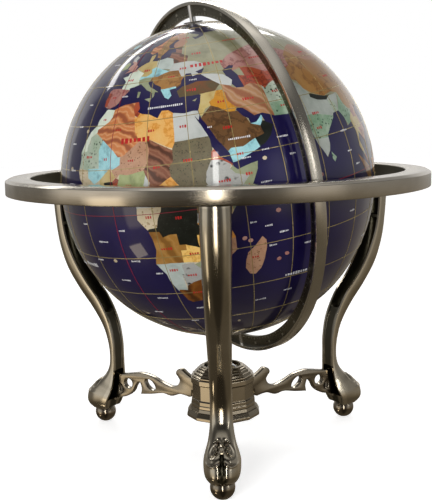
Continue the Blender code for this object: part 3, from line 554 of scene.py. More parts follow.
EURASIA_COAST = [
    [(-9, 37), (-9.5, 38.8), (-9.2, 43), (-8, 43.7), (-1.8, 43.4), (-1.2, 46), (-4.7, 48), (-1.5, 48.7),
     (-1.5, 49.6), (1.5, 50.8), (4.5, 52.5), (7, 53.6), (8.8, 54), (8.2, 57), (10.5, 57.7), (10.8, 56),
     (10.5, 54.2), (14, 54), (18.5, 54.7), (21, 55.3), (21.5, 57.5), (24, 57.3), (23.5, 59.2), (28, 59.6),
     (30, 60), (28, 60.5), (22.8, 60), (21.4, 61), (21.5, 63), (25.3, 65), (22, 65.8), (17.5, 62.2),
     (18.8, 60), (14.3, 55.5), (12.8, 55.6), (11, 59), (8, 58), (5.3, 59), (5, 62), (10, 64), (14.5, 68),
     (20, 70), (25.7, 71), (31, 70), (33, 69.3), (41, 67), (38, 66), (34.5, 66.5), (37, 64), (40, 64.7),
     (44, 66), (46, 68.2), (54, 68.4), (60, 69), (66, 69), (68, 72.5), (72.5, 72.5), (73, 68.5), (75, 72),
     (87, 75), (100, 76), (104, 78), (113, 74), (127, 73), (131, 71), (150, 72), (160, 70), (170, 70),
     (190, 66), (171, 60), (164, 60), (157, 51), (156, 57), (163, 62), (155, 59), (143, 59), (136, 55),
     (141, 53), (140, 48), (135, 43), (131, 43), (128, 40), (129, 37), (126, 34), (125, 38), (122, 39),
     (122, 41), (118, 39), (122, 37), (119, 35), (122, 32), (121, 28), (117, 24), (110, 21), (108, 22),
     (106, 19), (109, 13), (105, 9), (101, 13), (99, 10), (104, 1), (98, 8), (99, 13), (98, 17), (94, 16),
     (94, 19), (92, 22), (88, 21.6), (86.8, 20), (82.2, 16.6), (80.2, 15), (80, 12), (79.3, 10),
     (77.5, 8), (74.8, 13), (72.9, 19), (72.6, 21.5), (69.2, 22.2), (67, 24.7), (61.5, 25.1),
     (57.2, 26.8), (54, 26.5), (50.8, 29.5), (48.5, 30), (48, 29.4), (50, 26.7), (51.5, 25.7), (51.7, 24),
     (54, 24.2), (56.3, 26.2), (57, 24), (59.8, 22.5), (57.8, 19), (55, 17), (52, 15.7), (45, 12.8),
     (43.3, 12.8), (42.8, 16), (39.2, 21), (35.2, 28), (35, 29.5), (34.3, 31.3), (35.5, 34), (36, 36.7),
     (27.5, 36.9), (26.3, 39.3), (29, 41), (31.5, 41.2), (35, 42), (41.5, 41.5), (37.5, 44.7),
     (39.3, 47.2), (35, 46.3), (36.5, 45.3), (33.6, 44.4), (33, 46), (30.7, 46.2), (28.6, 43.5),
     (28, 41.5), (26, 40.7), (23, 40.3), (24, 38), (22.8, 36.6), (21.3, 37.5), (19.5, 40.5), (19.3, 41.9),
     (16, 43.5), (13.6, 45.6), (12.3, 44.5), (14, 42.5), (18.4, 40.2), (16.8, 40.4), (16.5, 38.7),
     (15.8, 38), (15.7, 40), (12.5, 41.5), (10.5, 43), (8.5, 44.3), (5, 43.3), (3, 43), (3.2, 41.9),
     (0, 39.5), (-0.7, 37.8), (-2.2, 36.7), (-5.5, 36)],
    [(-5.5, 50), (1, 51), (1.7, 52.7), (0, 53.5), (-1.5, 55), (-3, 56), (-2, 57.5), (-5, 58.6), (-6, 57),
     (-5, 55), (-3, 54.3), (-4.5, 53), (-5, 51.8), (-3, 51.4)],
    [(-10, 51.6), (-6.3, 52.2), (-6, 54.5), (-8.2, 55.3), (-10, 54)],
    [(-24, 65.5), (-22, 66.4), (-15, 66.3), (-14, 65), (-19, 63.4), (-22.5, 64)],
    [(12.5, 38), (15.5, 38.2), (15, 36.7)],
    [(8.3, 41.2), (9.7, 41), (9.5, 39.1), (8.5, 39)],
    [(32.5, 35), (34.5, 35.6), (33.5, 34.6)],
    [(52, 71), (56, 74.5), (68, 77), (60, 75.5), (55, 72)],
    [(11, 79), (20, 80.4), (25, 80), (17, 76.8)],
    [(131, 34), (136, 34), (140, 35), (142, 40), (141, 41), (140, 38)],
    [(140, 42), (143, 42), (146, 43), (142, 45)],
    [(130, 31), (132, 34), (130, 33)],
    [(142, 46), (144, 49), (143, 54), (142, 50)],
    [(79.9, 9.5), (81.8, 7.5), (80.5, 6), (79.8, 7)],
    [(120, 23), (121, 25), (122, 25), (121, 22)],
]
EURASIA_STONES = [
    ("red_jasper", [(-11, 36), (-7.4, 37), (-6.8, 41.8), (-8.5, 42.2), (-11, 42.2)]),
    ("rhodonite", [(-11, 42.2), (-8.5, 42.2), (-6.8, 41.8), (-7.4, 37), (-7, 35.5), (-3, 35.5),
        (3.5, 42.3), (-3, 44.5), (-11, 44.5)]),
    ("jade_pale", [(-1.7, 43.2), (0.5, 42.7), (3.5, 42.3), (7.6, 43.8), (8, 49), (2.5, 51.2), (-6, 49)]),
    ("lemon_pale", [(2.5, 51.5), (8, 49), (7, 47.5), (10, 47.3), (13, 48.5), (14.8, 51), (14.3, 54.5),
        (9, 58.5)]),
    ("green_pale", [(6.8, 46), (8, 42), (8, 38), (12, 36), (19.5, 37), (13.8, 46.6), (10, 46.8)]),
    ("sky_blue", [(7, 47.5), (6.8, 46), (10, 46.8), (16.5, 46.5), (22.5, 48), (18, 49.5), (14.8, 51),
        (12.3, 50.3), (13, 48.5), (10, 47.3)]),
    ("grey_blue", [(14.8, 51), (18, 49.5), (22.5, 49), (24, 51), (23.5, 54), (19, 55), (14.3, 54.5)]),
    ("ochre", [(13.8, 46.6), (13, 45), (19, 41), (21, 40.9), (29, 41.3), (30.5, 45.5), (27, 48),
        (22.5, 48), (16.5, 46.5)]),
    ("sky_blue", [(19, 41), (21, 40.9), (26.5, 41.3), (24, 35.8), (20, 36)]),
    ("red_brown", [(19, 55), (23.5, 54), (24, 51.5), (31, 51.8), (32, 54.5), (28, 56), (28, 59.5),
        (22, 60)]),
    ("white_quartz", [(22.5, 49), (22.5, 48), (27, 48), (28.5, 45), (33, 44), (37, 45.5), (40, 49),
        (35, 51.5), (31, 51.8), (24, 51.5)]),
    ("orange_bands", [(4, 57.5), (11.2, 58.8), (32, 72), (10, 72), (3, 62)]),
    ("tan_bands", [(11.2, 59.3), (12.5, 54.8), (18, 56), (23.5, 65.8), (20.5, 69), (15, 66.5), (12, 63.5),
        (12.5, 61)]),
    ("pink_brown", [(20.5, 69), (24, 65.8), (20.5, 63), (22, 59.4), (28, 60.3), (31.5, 63), (29, 66),
        (29, 70.2)]),
    ("olive_brown", [(26, 35), (42, 37.2), (44.5, 39.5), (41, 42.7), (30, 42.7), (26, 41.3)]),
    ("white_quartz", [(36.5, 45), (44.5, 39.5), (48.5, 38.4), (50.5, 40.5), (47, 43.2)]),
    ("rhodonite", [(47, 48), (52, 51.5), (61, 54), (70, 55.3), (77, 53.5), (87.3, 49.2), (80, 42.3),
        (66, 41.5), (56, 45), (51, 44), (48, 45.5)]),
    ("red_jasper", [(52, 42), (56, 41.3), (55, 45.5), (61, 44), (66, 41.5), (71, 42.3), (80, 42.3),
        (73.5, 39.5), (67.5, 37), (62, 35.3), (53, 37)]),
    ("orange_pink", [(44.5, 39.5), (48, 38.4), (49, 37.5), (53.8, 37.2), (57, 38.2), (61, 36.6),
        (61.6, 24), (57, 25), (50, 28.5), (46, 33), (45.5, 36)]),
    ("moss_speckle", [(61, 36.6), (62, 35.3), (66.5, 37.3), (71.5, 38), (74.8, 37.2), (66, 29.5),
        (61, 29.8)]),
    ("green_agate", [(61, 29.8), (66, 29.5), (66, 30.5), (69.5, 33), (71, 36), (74.8, 37.2), (76, 35.5),
        (74.5, 31), (70.5, 24.5), (67, 23), (61.6, 24)]),
    ("agate_grey", [(67, 23), (70.5, 24.5), (71, 28), (74.5, 31), (74, 33), (76, 35.5), (79, 33),
        (80.5, 30.3), (88, 27.3), (97, 28), (92, 22), (87, 18), (70, 18)]),
    ("green_agate", [(70, 22.5), (76, 23), (88, 20.5), (84, 14), (78, 14.3), (72, 15)]),
    ("agate_grey", [(72, 15), (78, 14.3), (84, 14), (74, 5)]),
    ("charcoal", [(80.5, 30.3), (88, 28), (92, 28), (88, 26.5), (83, 27.3), (80, 28.7)]),
    ("moss_speckle", [(88, 26.5), (89, 21), (92, 22), (92, 25)]),
    ("ochre", [(73.5, 39.5), (80, 42.3), (83, 47), (87.3, 49.2), (116, 50), (120, 53), (131, 48),
        (135, 48), (131, 43), (123, 22), (112, 18), (99, 22), (98, 24), (98, 28), (94, 29), (88, 28),
        (82, 30.2), (79, 32.5), (78, 35.5), (74.5, 37)]),
    ("pink_brown", [(87.3, 49.2), (92, 51), (98, 52), (107, 50), (116, 50), (120, 47), (112, 45),
        (105, 42), (96, 43), (91, 45)]),
    ("green_agate", [(92, 22), (98, 28), (98, 24), (101, 20), (96, 14)]),
    ("lemon_pale", [(98, 18), (101, 20), (105, 18), (106, 14), (103, 6), (97, 6)]),
    ("rhodonite", [(105, 23), (108, 22), (112, 12), (104, 7), (102, 14), (106, 14), (105, 18), (102, 18),
        (101, 20)]),
    ("orange_bands", [(103, 6), (106, 2), (104, 0), (99, 3)]),
    ("orange_pink", [(124, 40), (130, 42), (128, 32), (125, 34)]),
    ("topaz", [(38.8, 33.4), (42.4, 37.2), (44.8, 37.2), (45.5, 36), (46, 33), (48.5, 30.2), (47.5, 29),
        (44.7, 29.2), (39.2, 32.1)]),
    ("lemon_pale", [(34, 29), (35.5, 36.8), (42.4, 37.2), (41, 34.5), (38.8, 33.4), (39.2, 32.1),
        (37, 31.3), (36, 29.3)]),
    ("dark_brown", [(34.5, 27.5), (36, 29.3), (39.2, 32.1), (42, 31.1), (44.7, 29.2), (48.8, 29),
        (50.8, 26), (51.7, 24), (55, 22.7), (55.5, 20), (47.5, 17.2), (42, 16.3)]),
    ("sky_blue", [(42, 16.3), (43.5, 17.4), (47.5, 17.2), (52, 19), (53.3, 15.5), (42, 12)]),
    ("charcoal", [(52, 19), (55.5, 20), (55, 22.7), (56, 24.3), (60.5, 23.5), (59, 18.5), (53.3, 15.5)]),
    ("sky_blue", [(51.7, 24), (55, 22.7), (56, 24.3), (57, 26.5)]),
    ("rose", [(-6.5, 49), (3, 50.3), (3, 53), (-2, 56), (-6.5, 56)]),
    ("white_quartz", [(-7, 56), (-2, 55), (0, 57), (-4, 60)]),
    ("olive", [(-11, 51), (-5.6, 51.8), (-5.6, 55), (-8, 56), (-11, 54.5)]),
    ("sky_blue", [(-25, 63), (-13, 63), (-13, 67), (-25, 67)]),
    ("rose", [(142, 34), (146, 43), (142, 46), (128, 34)]),
    ("green_agate", [(79, 5), (83, 5), (80.5, 10.2), (79.5, 9.7)]),
]
EURASIA_SEAS = [
    [(47, 45), (51, 46.8), (53, 46.4), (51.3, 44.5), (53, 42), (53.5, 39), (54, 37), (50.5, 37.2), (49, 39),
     (49.8, 40.5), (48, 42.5)],
]
SOUTH_SEAS_COAST = [
    [(114, -22), (118, -21), (126, -14), (130, -15), (131, -12), (137, -12), (136, -15), (141, -18),
     (142, -11), (153, -25), (153, -29), (150, -37), (146, -39), (140, -38), (138, -33), (136, -35),
     (131, -32), (118, -35), (115, -34), (116, -32)],
    [(145, -41), (148, -41), (147, -44), (145, -42)],
    [(173, -34), (178, -38), (176, -41), (174, -39), (175, -37)],
    [(173, -41), (174, -42), (171, -46), (168, -47), (166, -46)],
    [(131, -1), (134, -1), (135, -3), (138, -2), (148, -6), (150, -10), (138, -8), (138, -6), (133, -4)],
    [(95, 6), (104, 0), (106, -3), (106, -6), (102, -4), (99, 0)],
    [(113, -7), (114, -8), (110, -8), (106, -7)],
    [(109, 2), (112, 2), (117, 7), (119, 5), (118, 1), (116, -4), (110, -3)],
    [(120, -6), (120, 0), (125, 2), (121, 0), (123, -1), (122, -4), (121, -3)],
    [(120, 16), (121, 18), (122, 18), (122, 16), (124, 13), (121, 14)],
    [(122, 7), (126, 10), (126, 7), (126, 6)],
]
SOUTH_SEAS_STONES = [
    ("olive_brown", [(112, -10), (129, -10), (129, -36), (112, -36)]),
    ("orange_bands", [(129, -10), (138, -10), (138, -26), (129, -26)]),
    ("lemon_pale", [(129, -26), (141, -26), (141, -40), (129, -40)]),
    ("green_agate", [(138, -10), (155, -10), (155, -29), (141, -29), (141, -26), (138, -26)]),
    ("pink_granite", [(141, -29), (155, -29), (150, -38), (144, -36), (141, -34)]),
    ("sky_blue", [(141, -34), (144, -36), (150, -38), (141, -40)]),
    ("moss_speckle", [(143, -40), (150, -40), (150, -45), (143, -45)]),
    ("jade_pale", [(164, -33), (180, -33), (180, -48), (164, -48)]),
    ("green_pale", [(130, 0), (141, 0), (141, -10), (130, -10)]),
    ("red_brown", [(141, 0), (152, 0), (152, -12), (141, -12)]),
    ("ochre", [(94, 7), (107, -1), (107, -6), (94, -3)]),
    ("cream", [(104, -6), (116, -6), (116, -10), (104, -10)]),
    ("amber", [(108, 8), (119, 8), (119, -6), (108, -6)]),
]
NORTH_AMERICA_COAST = [
    [(-168, 66), (-166, 68), (-156, 71), (-128, 70), (-115, 68), (-96, 68), (-94, 72), (-82, 68),
     (-94, 60), (-92, 57), (-85, 55), (-80, 51), (-76, 57), (-78, 62), (-73, 62), (-70, 59), (-64, 60),
     (-62, 56), (-56, 52), (-60, 50), (-67, 50), (-64, 46), (-60, 46), (-66, 44), (-70, 44), (-70, 42),
     (-74, 40), (-76, 36), (-81, 32), (-80, 27), (-81, 25), (-84, 30), (-94, 30), (-97, 28), (-98, 22),
     (-96, 19), (-92, 18), (-90, 21), (-87, 22), (-88, 16), (-84, 15), (-84, 11), (-81, 9), (-80, 10),
     (-77, 8), (-78, 7), (-83, 8), (-88, 13), (-94, 16), (-100, 17), (-106, 20), (-109, 26), (-114, 32),
     (-110, 23), (-116, 30), (-117, 33), (-121, 35), (-124, 40), (-123, 49), (-135, 58), (-141, 60),
     (-148, 60), (-163, 55), (-158, 59), (-165, 62), (-161, 64)],
    [(-73, 78), (-65, 81), (-32, 84), (-18, 80), (-24, 70), (-40, 65), (-44, 60), (-50, 62), (-55, 72),
     (-61, 76)],
    [(-66, 62), (-62, 66), (-68, 70), (-79, 74), (-89, 73), (-72, 67), (-78, 64)],
    [(-117, 69), (-105, 69), (-105, 73), (-117, 73)],
    [(-76, 76), (-62, 83), (-90, 82), (-88, 77)],
    [(-59, 48), (-53, 47), (-56, 52)],
    [(-85, 22), (-80, 23), (-74, 20), (-78, 20)],
    [(-74, 18), (-72, 20), (-68, 18)],
]
NORTH_AMERICA_STONES = [
    ("white_quartz", [(-141, 75), (-130, 54), (-180, 50), (-180, 75)]),
    ("green_pale", [(-141, 75), (-141, 60), (-124, 60), (-124, 75)]),
    ("amber", [(-124, 75), (-124, 60), (-102, 60), (-102, 75)]),
    ("moss_speckle", [(-102, 75), (-102, 60), (-80, 60), (-80, 75)]),
    ("sky_blue", [(-141, 60), (-120, 60), (-114, 49), (-130, 47)]),
    ("orange_bands", [(-120, 60), (-110, 60), (-110, 49), (-114, 49)]),
    ("jade_pale", [(-110, 60), (-102, 60), (-102, 49), (-110, 49)]),
    ("red_brown", [(-102, 60), (-94, 60), (-89, 57), (-95, 49), (-102, 49)]),
    ("lemon_pale", [(-89, 57), (-78, 57), (-74, 45), (-83, 42), (-95, 49), (-95, 52)]),
    ("rose", [(-80, 63), (-80, 47), (-71, 45), (-58, 45), (-54, 53), (-64, 62)]),
    ("grey_blue", [(-60, 46), (-52, 46), (-52, 53), (-60, 52)]),
    ("dark_brown", [(-125, 49), (-111, 49), (-111, 42), (-125, 42)]),
    ("tiger_brown", [(-125, 42), (-114, 42), (-114, 35), (-117, 32), (-125, 32)]),
    ("green_agate", [(-114, 42), (-102, 42), (-102, 32), (-114, 31)]),
    ("cream", [(-111, 49), (-97, 49), (-97, 42), (-111, 42)]),
    ("orange_pink", [(-102, 42), (-94, 42), (-94, 29), (-98, 26), (-104, 30), (-102, 32)]),
    ("taupe", [(-97, 49), (-89, 48), (-87, 42), (-97, 42)]),
    ("white_quartz", [(-94, 42), (-83, 42), (-80, 33), (-80, 25), (-94, 29)]),
    ("olive", [(-87, 42), (-89, 48), (-83, 42), (-79, 44), (-67, 48), (-66, 43), (-80, 33), (-83, 42)]),
    ("amber", [(-118, 32), (-114, 31), (-104, 30), (-98, 26), (-94, 18), (-96, 15), (-118, 22)]),
    ("sky_blue", [(-94, 19), (-86, 22), (-92, 14), (-96, 15)]),
    ("red_jasper", [(-92, 14), (-89, 18), (-77, 9), (-77, 6), (-86, 8)]),
    ("snow", [(-75, 75), (-75, 84), (-10, 84), (-10, 70), (-42, 58)]),
    ("pink_brown", [(-90, 61), (-90, 74), (-76, 74), (-60, 68), (-60, 61)]),
    ("ochre", [(-86, 24), (-73, 24), (-74, 20), (-86, 20)]),
]
SOUTH_AMERICA_COAST = [
    [(-77, 8), (-75, 11), (-72, 12), (-62, 11), (-57, 6), (-52, 5), (-50, 0), (-37, -5), (-35, -8),
     (-38, -13), (-39, -18), (-42, -22), (-48, -26), (-54, -35), (-58, -34), (-57, -37), (-65, -41),
     (-68, -53), (-66, -55), (-72, -54), (-75, -50), (-74, -37), (-70, -18), (-76, -14), (-81, -6),
     (-79, 2), (-77, 4)],
]
SOUTH_AMERICA_STONES = [
    ("jade_pale", [(-79, 9), (-71, 13), (-68, 6), (-67, 1), (-70, -4), (-79, 1)]),
    ("amber", [(-71, 13), (-60, 11), (-61, 5), (-64, 2), (-67, 1), (-68, 6), (-71, 8)]),
    ("rhodonite", [(-61, 5), (-60, 9), (-50, 6), (-52, 2), (-60, 2)]),
    ("sky_blue", [(-82, 1), (-75, 0), (-80, -5), (-82, -4)]),
    ("tiger_brown", [(-75, 0), (-70, -4), (-70, -18), (-83, -14), (-80, -5)]),
    ("green_agate", [(-67, 1), (-64, 2), (-61, 5), (-60, 2), (-52, 2), (-49, 5), (-46, -7), (-46, -15),
        (-60, -15), (-70, -10), (-70, -4)]),
    ("moss_speckle", [(-49, 3), (-33, -4), (-37, -18), (-46, -15), (-46, -7)]),
    ("olive", [(-60, -15), (-46, -15), (-37, -18), (-53, -34), (-58, -30)]),
    ("lemon_pale", [(-70, -10), (-65, -10), (-60, -15), (-58, -20), (-62, -22), (-68, -22), (-70, -18)]),
    ("white_quartz", [(-62, -22), (-58, -20), (-54, -25), (-57, -28)]),
    ("red_brown", [(-58, -30), (-53, -34), (-53, -36), (-58, -34)]),
    ("grey_blue", [(-68, -22), (-62, -22), (-57, -28), (-58, -30), (-58, -34), (-56, -37), (-67, -52),
        (-72, -51), (-72, -44)]),
    ("rose", [(-70, -18), (-68, -22), (-72, -44), (-72, -51), (-67, -52), (-64, -56), (-76, -55),
        (-73, -28)]),
]
ANTARCTIC_COAST = [
    [(-180, -78), (-160, -78), (-130, -74), (-75, -72), (-60, -64), (-58, -67), (-62, -74), (-40, -78),
     (0, -70), (30, -69), (55, -66), (80, -68), (110, -66), (140, -66), (165, -71), (165, -78)],
]
AFRICA_COAST += [islet(*place) for place in ISLETS]
# Region: place to flatten it about, coasts, stones, seas and the stone of any land left over.
REGIONS = {
    "africa": ((20, 2), AFRICA_COAST, AFRICA_STONES, [], "cream"),
    "eurasia": ((75, 45), EURASIA_COAST, EURASIA_STONES, EURASIA_SEAS, "grey_olive"),
    "south_seas": ((135, -15), SOUTH_SEAS_COAST, SOUTH_SEAS_STONES, [], "ochre"),
    "north_america": ((-95, 50), NORTH_AMERICA_COAST, NORTH_AMERICA_STONES, [], "grey_blue"),
    "south_america": ((-62, -20), SOUTH_AMERICA_COAST, SOUTH_AMERICA_STONES, [], "olive"),
    "antarctica": ((0, -90), ANTARCTIC_COAST, [], [], "snow"),
}
MAP_STEP = 0.022                                    # longest map edge as a share of the ball's radius
ROW_SPACING = 0.87 * MAP_STEP                       # between the rows of filling points
SAME_POINT = 1e-6                                   # distance below which two map points are one
COAST_WOBBLE = ((0.0045, 9.0), (0.0022, 26.0))      # size and frequency of the uneven cut edges
noise.seed_set(7)                                   # without a seed the edges differ from run to run
STONE_DEPTH = 1.2                                   # how far a stone is set into the ball


def on_globe(longitude, latitude):
    """Unit vector in the globe's own axes."""
    turn = math.radians(longitude - PIVOT_LONGITUDE)
    rise = math.radians(latitude)
    return Vector((math.cos(rise) * math.cos(turn), math.cos(rise) * math.sin(turn), math.sin(rise)))


class Flattened:
    """Stereographic map of the sphere about one place, and back."""

    def __init__(self, longitude, latitude):
        self.middle = on_globe(longitude, latitude)
        self.east = Vector((-math.sin(math.radians(longitude - PIVOT_LONGITUDE)),
                            math.cos(math.radians(longitude - PIVOT_LONGITUDE)), 0.0))
        self.north = self.middle.cross(self.east)

    def flat(self, point):
        scale = 2 / (1 + point.dot(self.middle))
        return Vector((point.dot(self.east), point.dot(self.north))) * scale

    def round(self, place):
        square = place.length_squared / 4
        return ((1 - square) * self.middle + place.x * self.east + place.y * self.north) / (1 + square)


def flat_outline(view, outline):
    """An outline's corners on the flat map, with long sides split."""
    corners = [view.flat(on_globe(*corner)) for corner in outline]
    points = []
    for start, end in zip(corners, corners[1:] + corners[:1]):
        pieces = max(1, math.ceil((end - start).length / MAP_STEP))
        points += [start.lerp(end, i / pieces) for i in range(pieces)]
    turns = sum(a.x * b.y - b.x * a.y for a, b in zip(points, points[1:] + points[:1]))
    return points if turns > 0 else points[::-1]


def wobbled(point):
    """Shift a point on the unit sphere a little, so that straight borders look cut by hand."""
    shift = Vector()
    for size, frequency in COAST_WOBBLE:
        shift += size * noise.noise_vector(point * frequency)
    return (point + shift).normalized()


def flat_grid(points):
    """Even filling points over the box of a coast outline."""
    low = Vector((min(p.x for p in points), min(p.y for p in points)))
    high = Vector((max(p.x for p in points), max(p.y for p in points)))
    grid = []
    for row in range(int((high.y - low.y) / ROW_SPACING) + 1):
        shift = MAP_STEP / 2 * (row % 2)
        for column in range(int((high.x - low.x) / MAP_STEP) + 1):
            grid.append(low + Vector((column * MAP_STEP + shift, row * ROW_SPACING)))
    return grid


def region_faces(view, coasts, stones, seas):
    """Triangles of the land on the flat map, each with the index of its stone or None."""
    verts = []
    faces = []
    for outline in coasts + seas + [outline for _, outline in stones]:
        points = flat_outline(view, outline)
        faces.append(list(range(len(verts), len(verts) + len(points))))
        verts += points
    for outline in coasts:
        verts += flat_grid(flat_outline(view, outline))
    land = set(range(len(coasts)))
    water = set(range(len(coasts), len(coasts) + len(seas)))
    first_stone = len(coasts) + len(seas)
    points, _, triangles, _, _, sources = delaunay_2d_cdt(verts, [], faces, 0, SAME_POINT, True)
    kept = []
    for triangle, source in zip(triangles, sources):
        source = set(source)
        if source & land and not source & water:
            over = [index - first_stone for index in source if index >= first_stone]
            kept.append((triangle, max(over) if over else None))
    return points, kept


def stones_mesh(view, coasts, stones, seas, filler):
    """Closed thin stones over a region's land, and the materials that they use."""
    names = sorted({name for name, _ in stones} | {filler})
    points, triangles = region_faces(view, coasts, stones, seas)
    bm = bmesh.new()
    upper = {}
    lower = {}
    for triangle, _ in triangles:
        for index in triangle:
            if index not in upper:
                point = wobbled(view.round(Vector(points[index])))
                upper[index] = bm.verts.new(point * (BALL_RADIUS + STONE_PROUD))
                lower[index] = bm.verts.new(point * (BALL_RADIUS - STONE_DEPTH))
    sides = {}
    for triangle, stone in triangles:
        a, b, c = triangle
        material = names.index(filler if stone is None else stones[stone][0])
        bm.faces.new([upper[i] for i in triangle]).material_index = material
        bm.faces.new([lower[i] for i in triangle[::-1]]).material_index = material
        for start, end in ((a, b), (b, c), (c, a)):
            if sides.pop((end, start), None) is None:
                sides[start, end] = material
    for (start, end), material in sides.items():
        wall = bm.faces.new((upper[end], upper[start], lower[start], lower[end]))
        wall.material_index = material
    bm.normal_update()
    return bm, [STONES[name] for name in names]


def round_normals(piece):
    """Shade a piece on the ball as part of the ball."""
    normals = [(v.co - CENTRE).normalized() for v in piece.data.vertices]
    piece.data.normals_split_custom_set_from_vertices(normals)


def make_stones():
    for region, (middle, coasts, stones, seas, filler) in REGIONS.items():
        bm, materials = stones_mesh(Flattened(*middle), coasts, stones, seas, filler)
        piece = add_piece(f"stones_{region}", bm, materials, "globe", GLOBE_AXES)
        round_normals(piece)


SHELL_THICKNESS = 5.0
SHELL_ROWS = 40                                     # from the equator to the pole
SHELL_STEPS = 180                                   # round the pole
BUSH_HOLE_RADIUS = 6.6
SEAM = 0.05                                         # from the equator to each half's edge


def make_ocean():
    """Two half shells, with a hole for the bush at each pole."""
    inner = BALL_RADIUS - SHELL_THICKNESS
    rise = math.degrees(math.acos(BUSH_HOLE_RADIUS / BALL_RADIUS))
    rise_inside = math.degrees(math.acos(BUSH_HOLE_RADIUS / inner))
    profile = arc((0, 0), BALL_RADIUS, 0, rise, SHELL_ROWS) + arc((0, 0), inner, rise_inside, 0, SHELL_ROWS)
    profile[0] = (BALL_RADIUS, SEAM)
    profile[-1] = (inner, SEAM)
    for half, sign in {"north": 1, "south": -1}.items():
        bm = turned([(radius, sign * height) for radius, height in profile], SHELL_STEPS)
        add_piece(f"ocean_{half}", bm, ocean, "globe", GLOBE_AXES, [f"globe_shell_{half}"])


LINE_STEP = 15                                      # degrees between map lines
LINE_PIECE = 2                                      # degrees in one straight piece of a line
LINE_WIDTH = 0.6
LINE_TOP = BALL_RADIUS + STONE_PROUD + 0.1
LINE_BOTTOM = BALL_RADIUS - 0.4
LINE_END = 86                                       # latitude at which meridians stop short of the washers


def add_strip(bm, directions, across, closed):
    """A thin raised strip through unit directions, with across giving its width direction at each."""
    half = LINE_WIDTH / 2
    rings = []
    for direction, side in zip(directions, across):
        ring = [direction * radius + side * offset for radius, offset in
                ((LINE_BOTTOM, -half), (LINE_TOP, -half), (LINE_TOP, half), (LINE_BOTTOM, half))]
        rings.append([bm.verts.new(point) for point in ring])
    pairs = list(zip(rings, rings[1:]))
    if closed:
        pairs.append((rings[-1], rings[0]))
    for one, two in pairs:
        for i in range(4):
            j = (i + 1) % 4
            bm.faces.new((one[i], one[j], two[j], two[i]))
    if not closed:
        bm.faces.new(rings[0][::-1])
        bm.faces.new(rings[-1])


def add_parallel(bm, latitude):
    places = [on_globe(longitude, latitude) for longitude in range(0, 360, LINE_PIECE)]
    across = [Vector((0, 0, 1)) - place * place.z for place in places]
    add_strip(bm, places, [side.normalized() for side in across], closed=True)


def add_meridian(bm, longitude):
    places = [on_globe(longitude, latitude) for latitude in range(-LINE_END, LINE_END + 1, LINE_PIECE)]
    side = on_globe(longitude + 90, 0)
    add_strip(bm, places, [side] * len(places), closed=False)


def make_map_lines():
    gold = bmesh.new()
    red = bmesh.new()
    for latitude in range(-75, 90, LINE_STEP):
        add_parallel(red if latitude == 0 else gold, latitude)
    for longitude in range(0, 360, LINE_STEP):
        add_meridian(red if longitude == 0 else gold, longitude)
    for name, bm, material in (("map_lines_gold", gold, gold_line), ("map_lines_red", red, red_line)):
        bmesh.ops.recalc_face_normals(bm, faces=bm.faces)
        add_piece(name, bm, material, "globe", GLOBE_AXES)


# Small rows of strokes stand where a globe has its captions: longitude, latitude and the row's length in
# millimetres. A title has the height of its strokes as well.
OCEAN_MARKS = [
    (22, 34.3, 34, 2.2), (2, 40, 7), (34, 43, 8), (-12, 45, 12), (-20, 38, 8), (-22, 30, 9), (-24, 24, 7),
    (-22, 15, 10), (-25, 5, 9), (-16, -3, 8), (-8, -9, 14), (2, -5, 7), (4, -16, 10), (12, -21, 8),
    (-14, -16, 9), (-5, -24, 12), (8, -32, 12), (24, -38, 16), (0, -40, 10), (16, -46, 8), (53, 5, 10),
    (62, 18, 12), (64, 12, 6), (68, 0, 9), (52, -9, 8), (53, -16, 8), (66, -18, 7), (63, -29, 26, 3.2),
    (-24, -19, 26, 4.0), (-21, 10, 22, 3.6), (47, 20, 20, 2.0), (47, -7, 6), (57, -12, 9), (60, -36, 9),
    (48, -38, 10), (72, -8, 8), (90, 15, 12), (90, 8, 7), (94, 3, 8), (88, -12, 9), (55, 15, 8),
    (48, 13.5, 9), (38, 25, 5), (-40, 30, 12), (-45, 15, 9), (-35, -20, 14), (-150, 20, 16),
    (-140, -10, 20), (-170, 0, 12), (-160, 40, 14), (-120, -30, 16), (160, 20, 14), (170, 35, 12),
    (-100, 0, 10), (-60, 30, 10), (-70, 20, 9), (-90, 25, 10), (-150, -45, 14), (105, -25, 14),
    (-20, 55, 10), (-15, 60, 7), (0, 66, 9), (-5, 72, 8),
]
LAND_MARKS = [
    (11, 24, 32, 5.4), (42, 49, 32, 4.6), (3, 28, 8), (17, 26.5, 7), (29, 26.5, 8), (-5.5, 32, 5),
    (-11, 19.5, 9), (-2, 18.5, 5), (9, 17.5, 7), (18.8, 14.5, 8), (29.5, 15.5, 10), (40, 7.5, 11),
    (8, 9.5, 8), (44, 24, 9), (46.5, 15, 7), (43.5, 33, 6), (54, 32.5, 11), (33, 39, 9), (66, 48.5, 12),
    (59, 40.5, 9), (66, 33.5, 7), (67, 28, 8), (79, 23, 9), (78, 18, 7), (100, 35, 12), (100, 47, 9),
    (37, 55, 9), (60, 60, 13), (80, 62, 10), (30, 66, 6), (17.5, -12, 11), (26.5, -14.5, 9),
    (18, -20, 10), (24, -22.5, 9), (24, -30, 10), (24, -2, 8), (34.5, -6.5, 8), (46.5, -19, 6),
    (13.5, -1, 6), (47, 5, 8), (38, 0.5, 6), (10, 50, 6), (2, 46.5, 6), (-4, 40, 5), (48, 8.5, 6),
    (30, 48.5, 8), (24, 45.5, 6), (36, -14.5, 6), (-100, 40, 10), (-100, 55, 10), (-110, 62, 8),
    (-102, 24, 7), (-88, 35, 8), (-60, -8, 12), (-64, -35, 10), (-73, 4, 7), (-72, -10, 6),
    (134, -24, 14), (121, -25, 8), (146, -22, 8), (-42, 73, 9), (114, 1, 6), (0, -80, 16), (90, -76, 12),
    (-150, 65, 7), (-75, 53, 8),
]
OCEAN_MARK_HEIGHT = 1.75
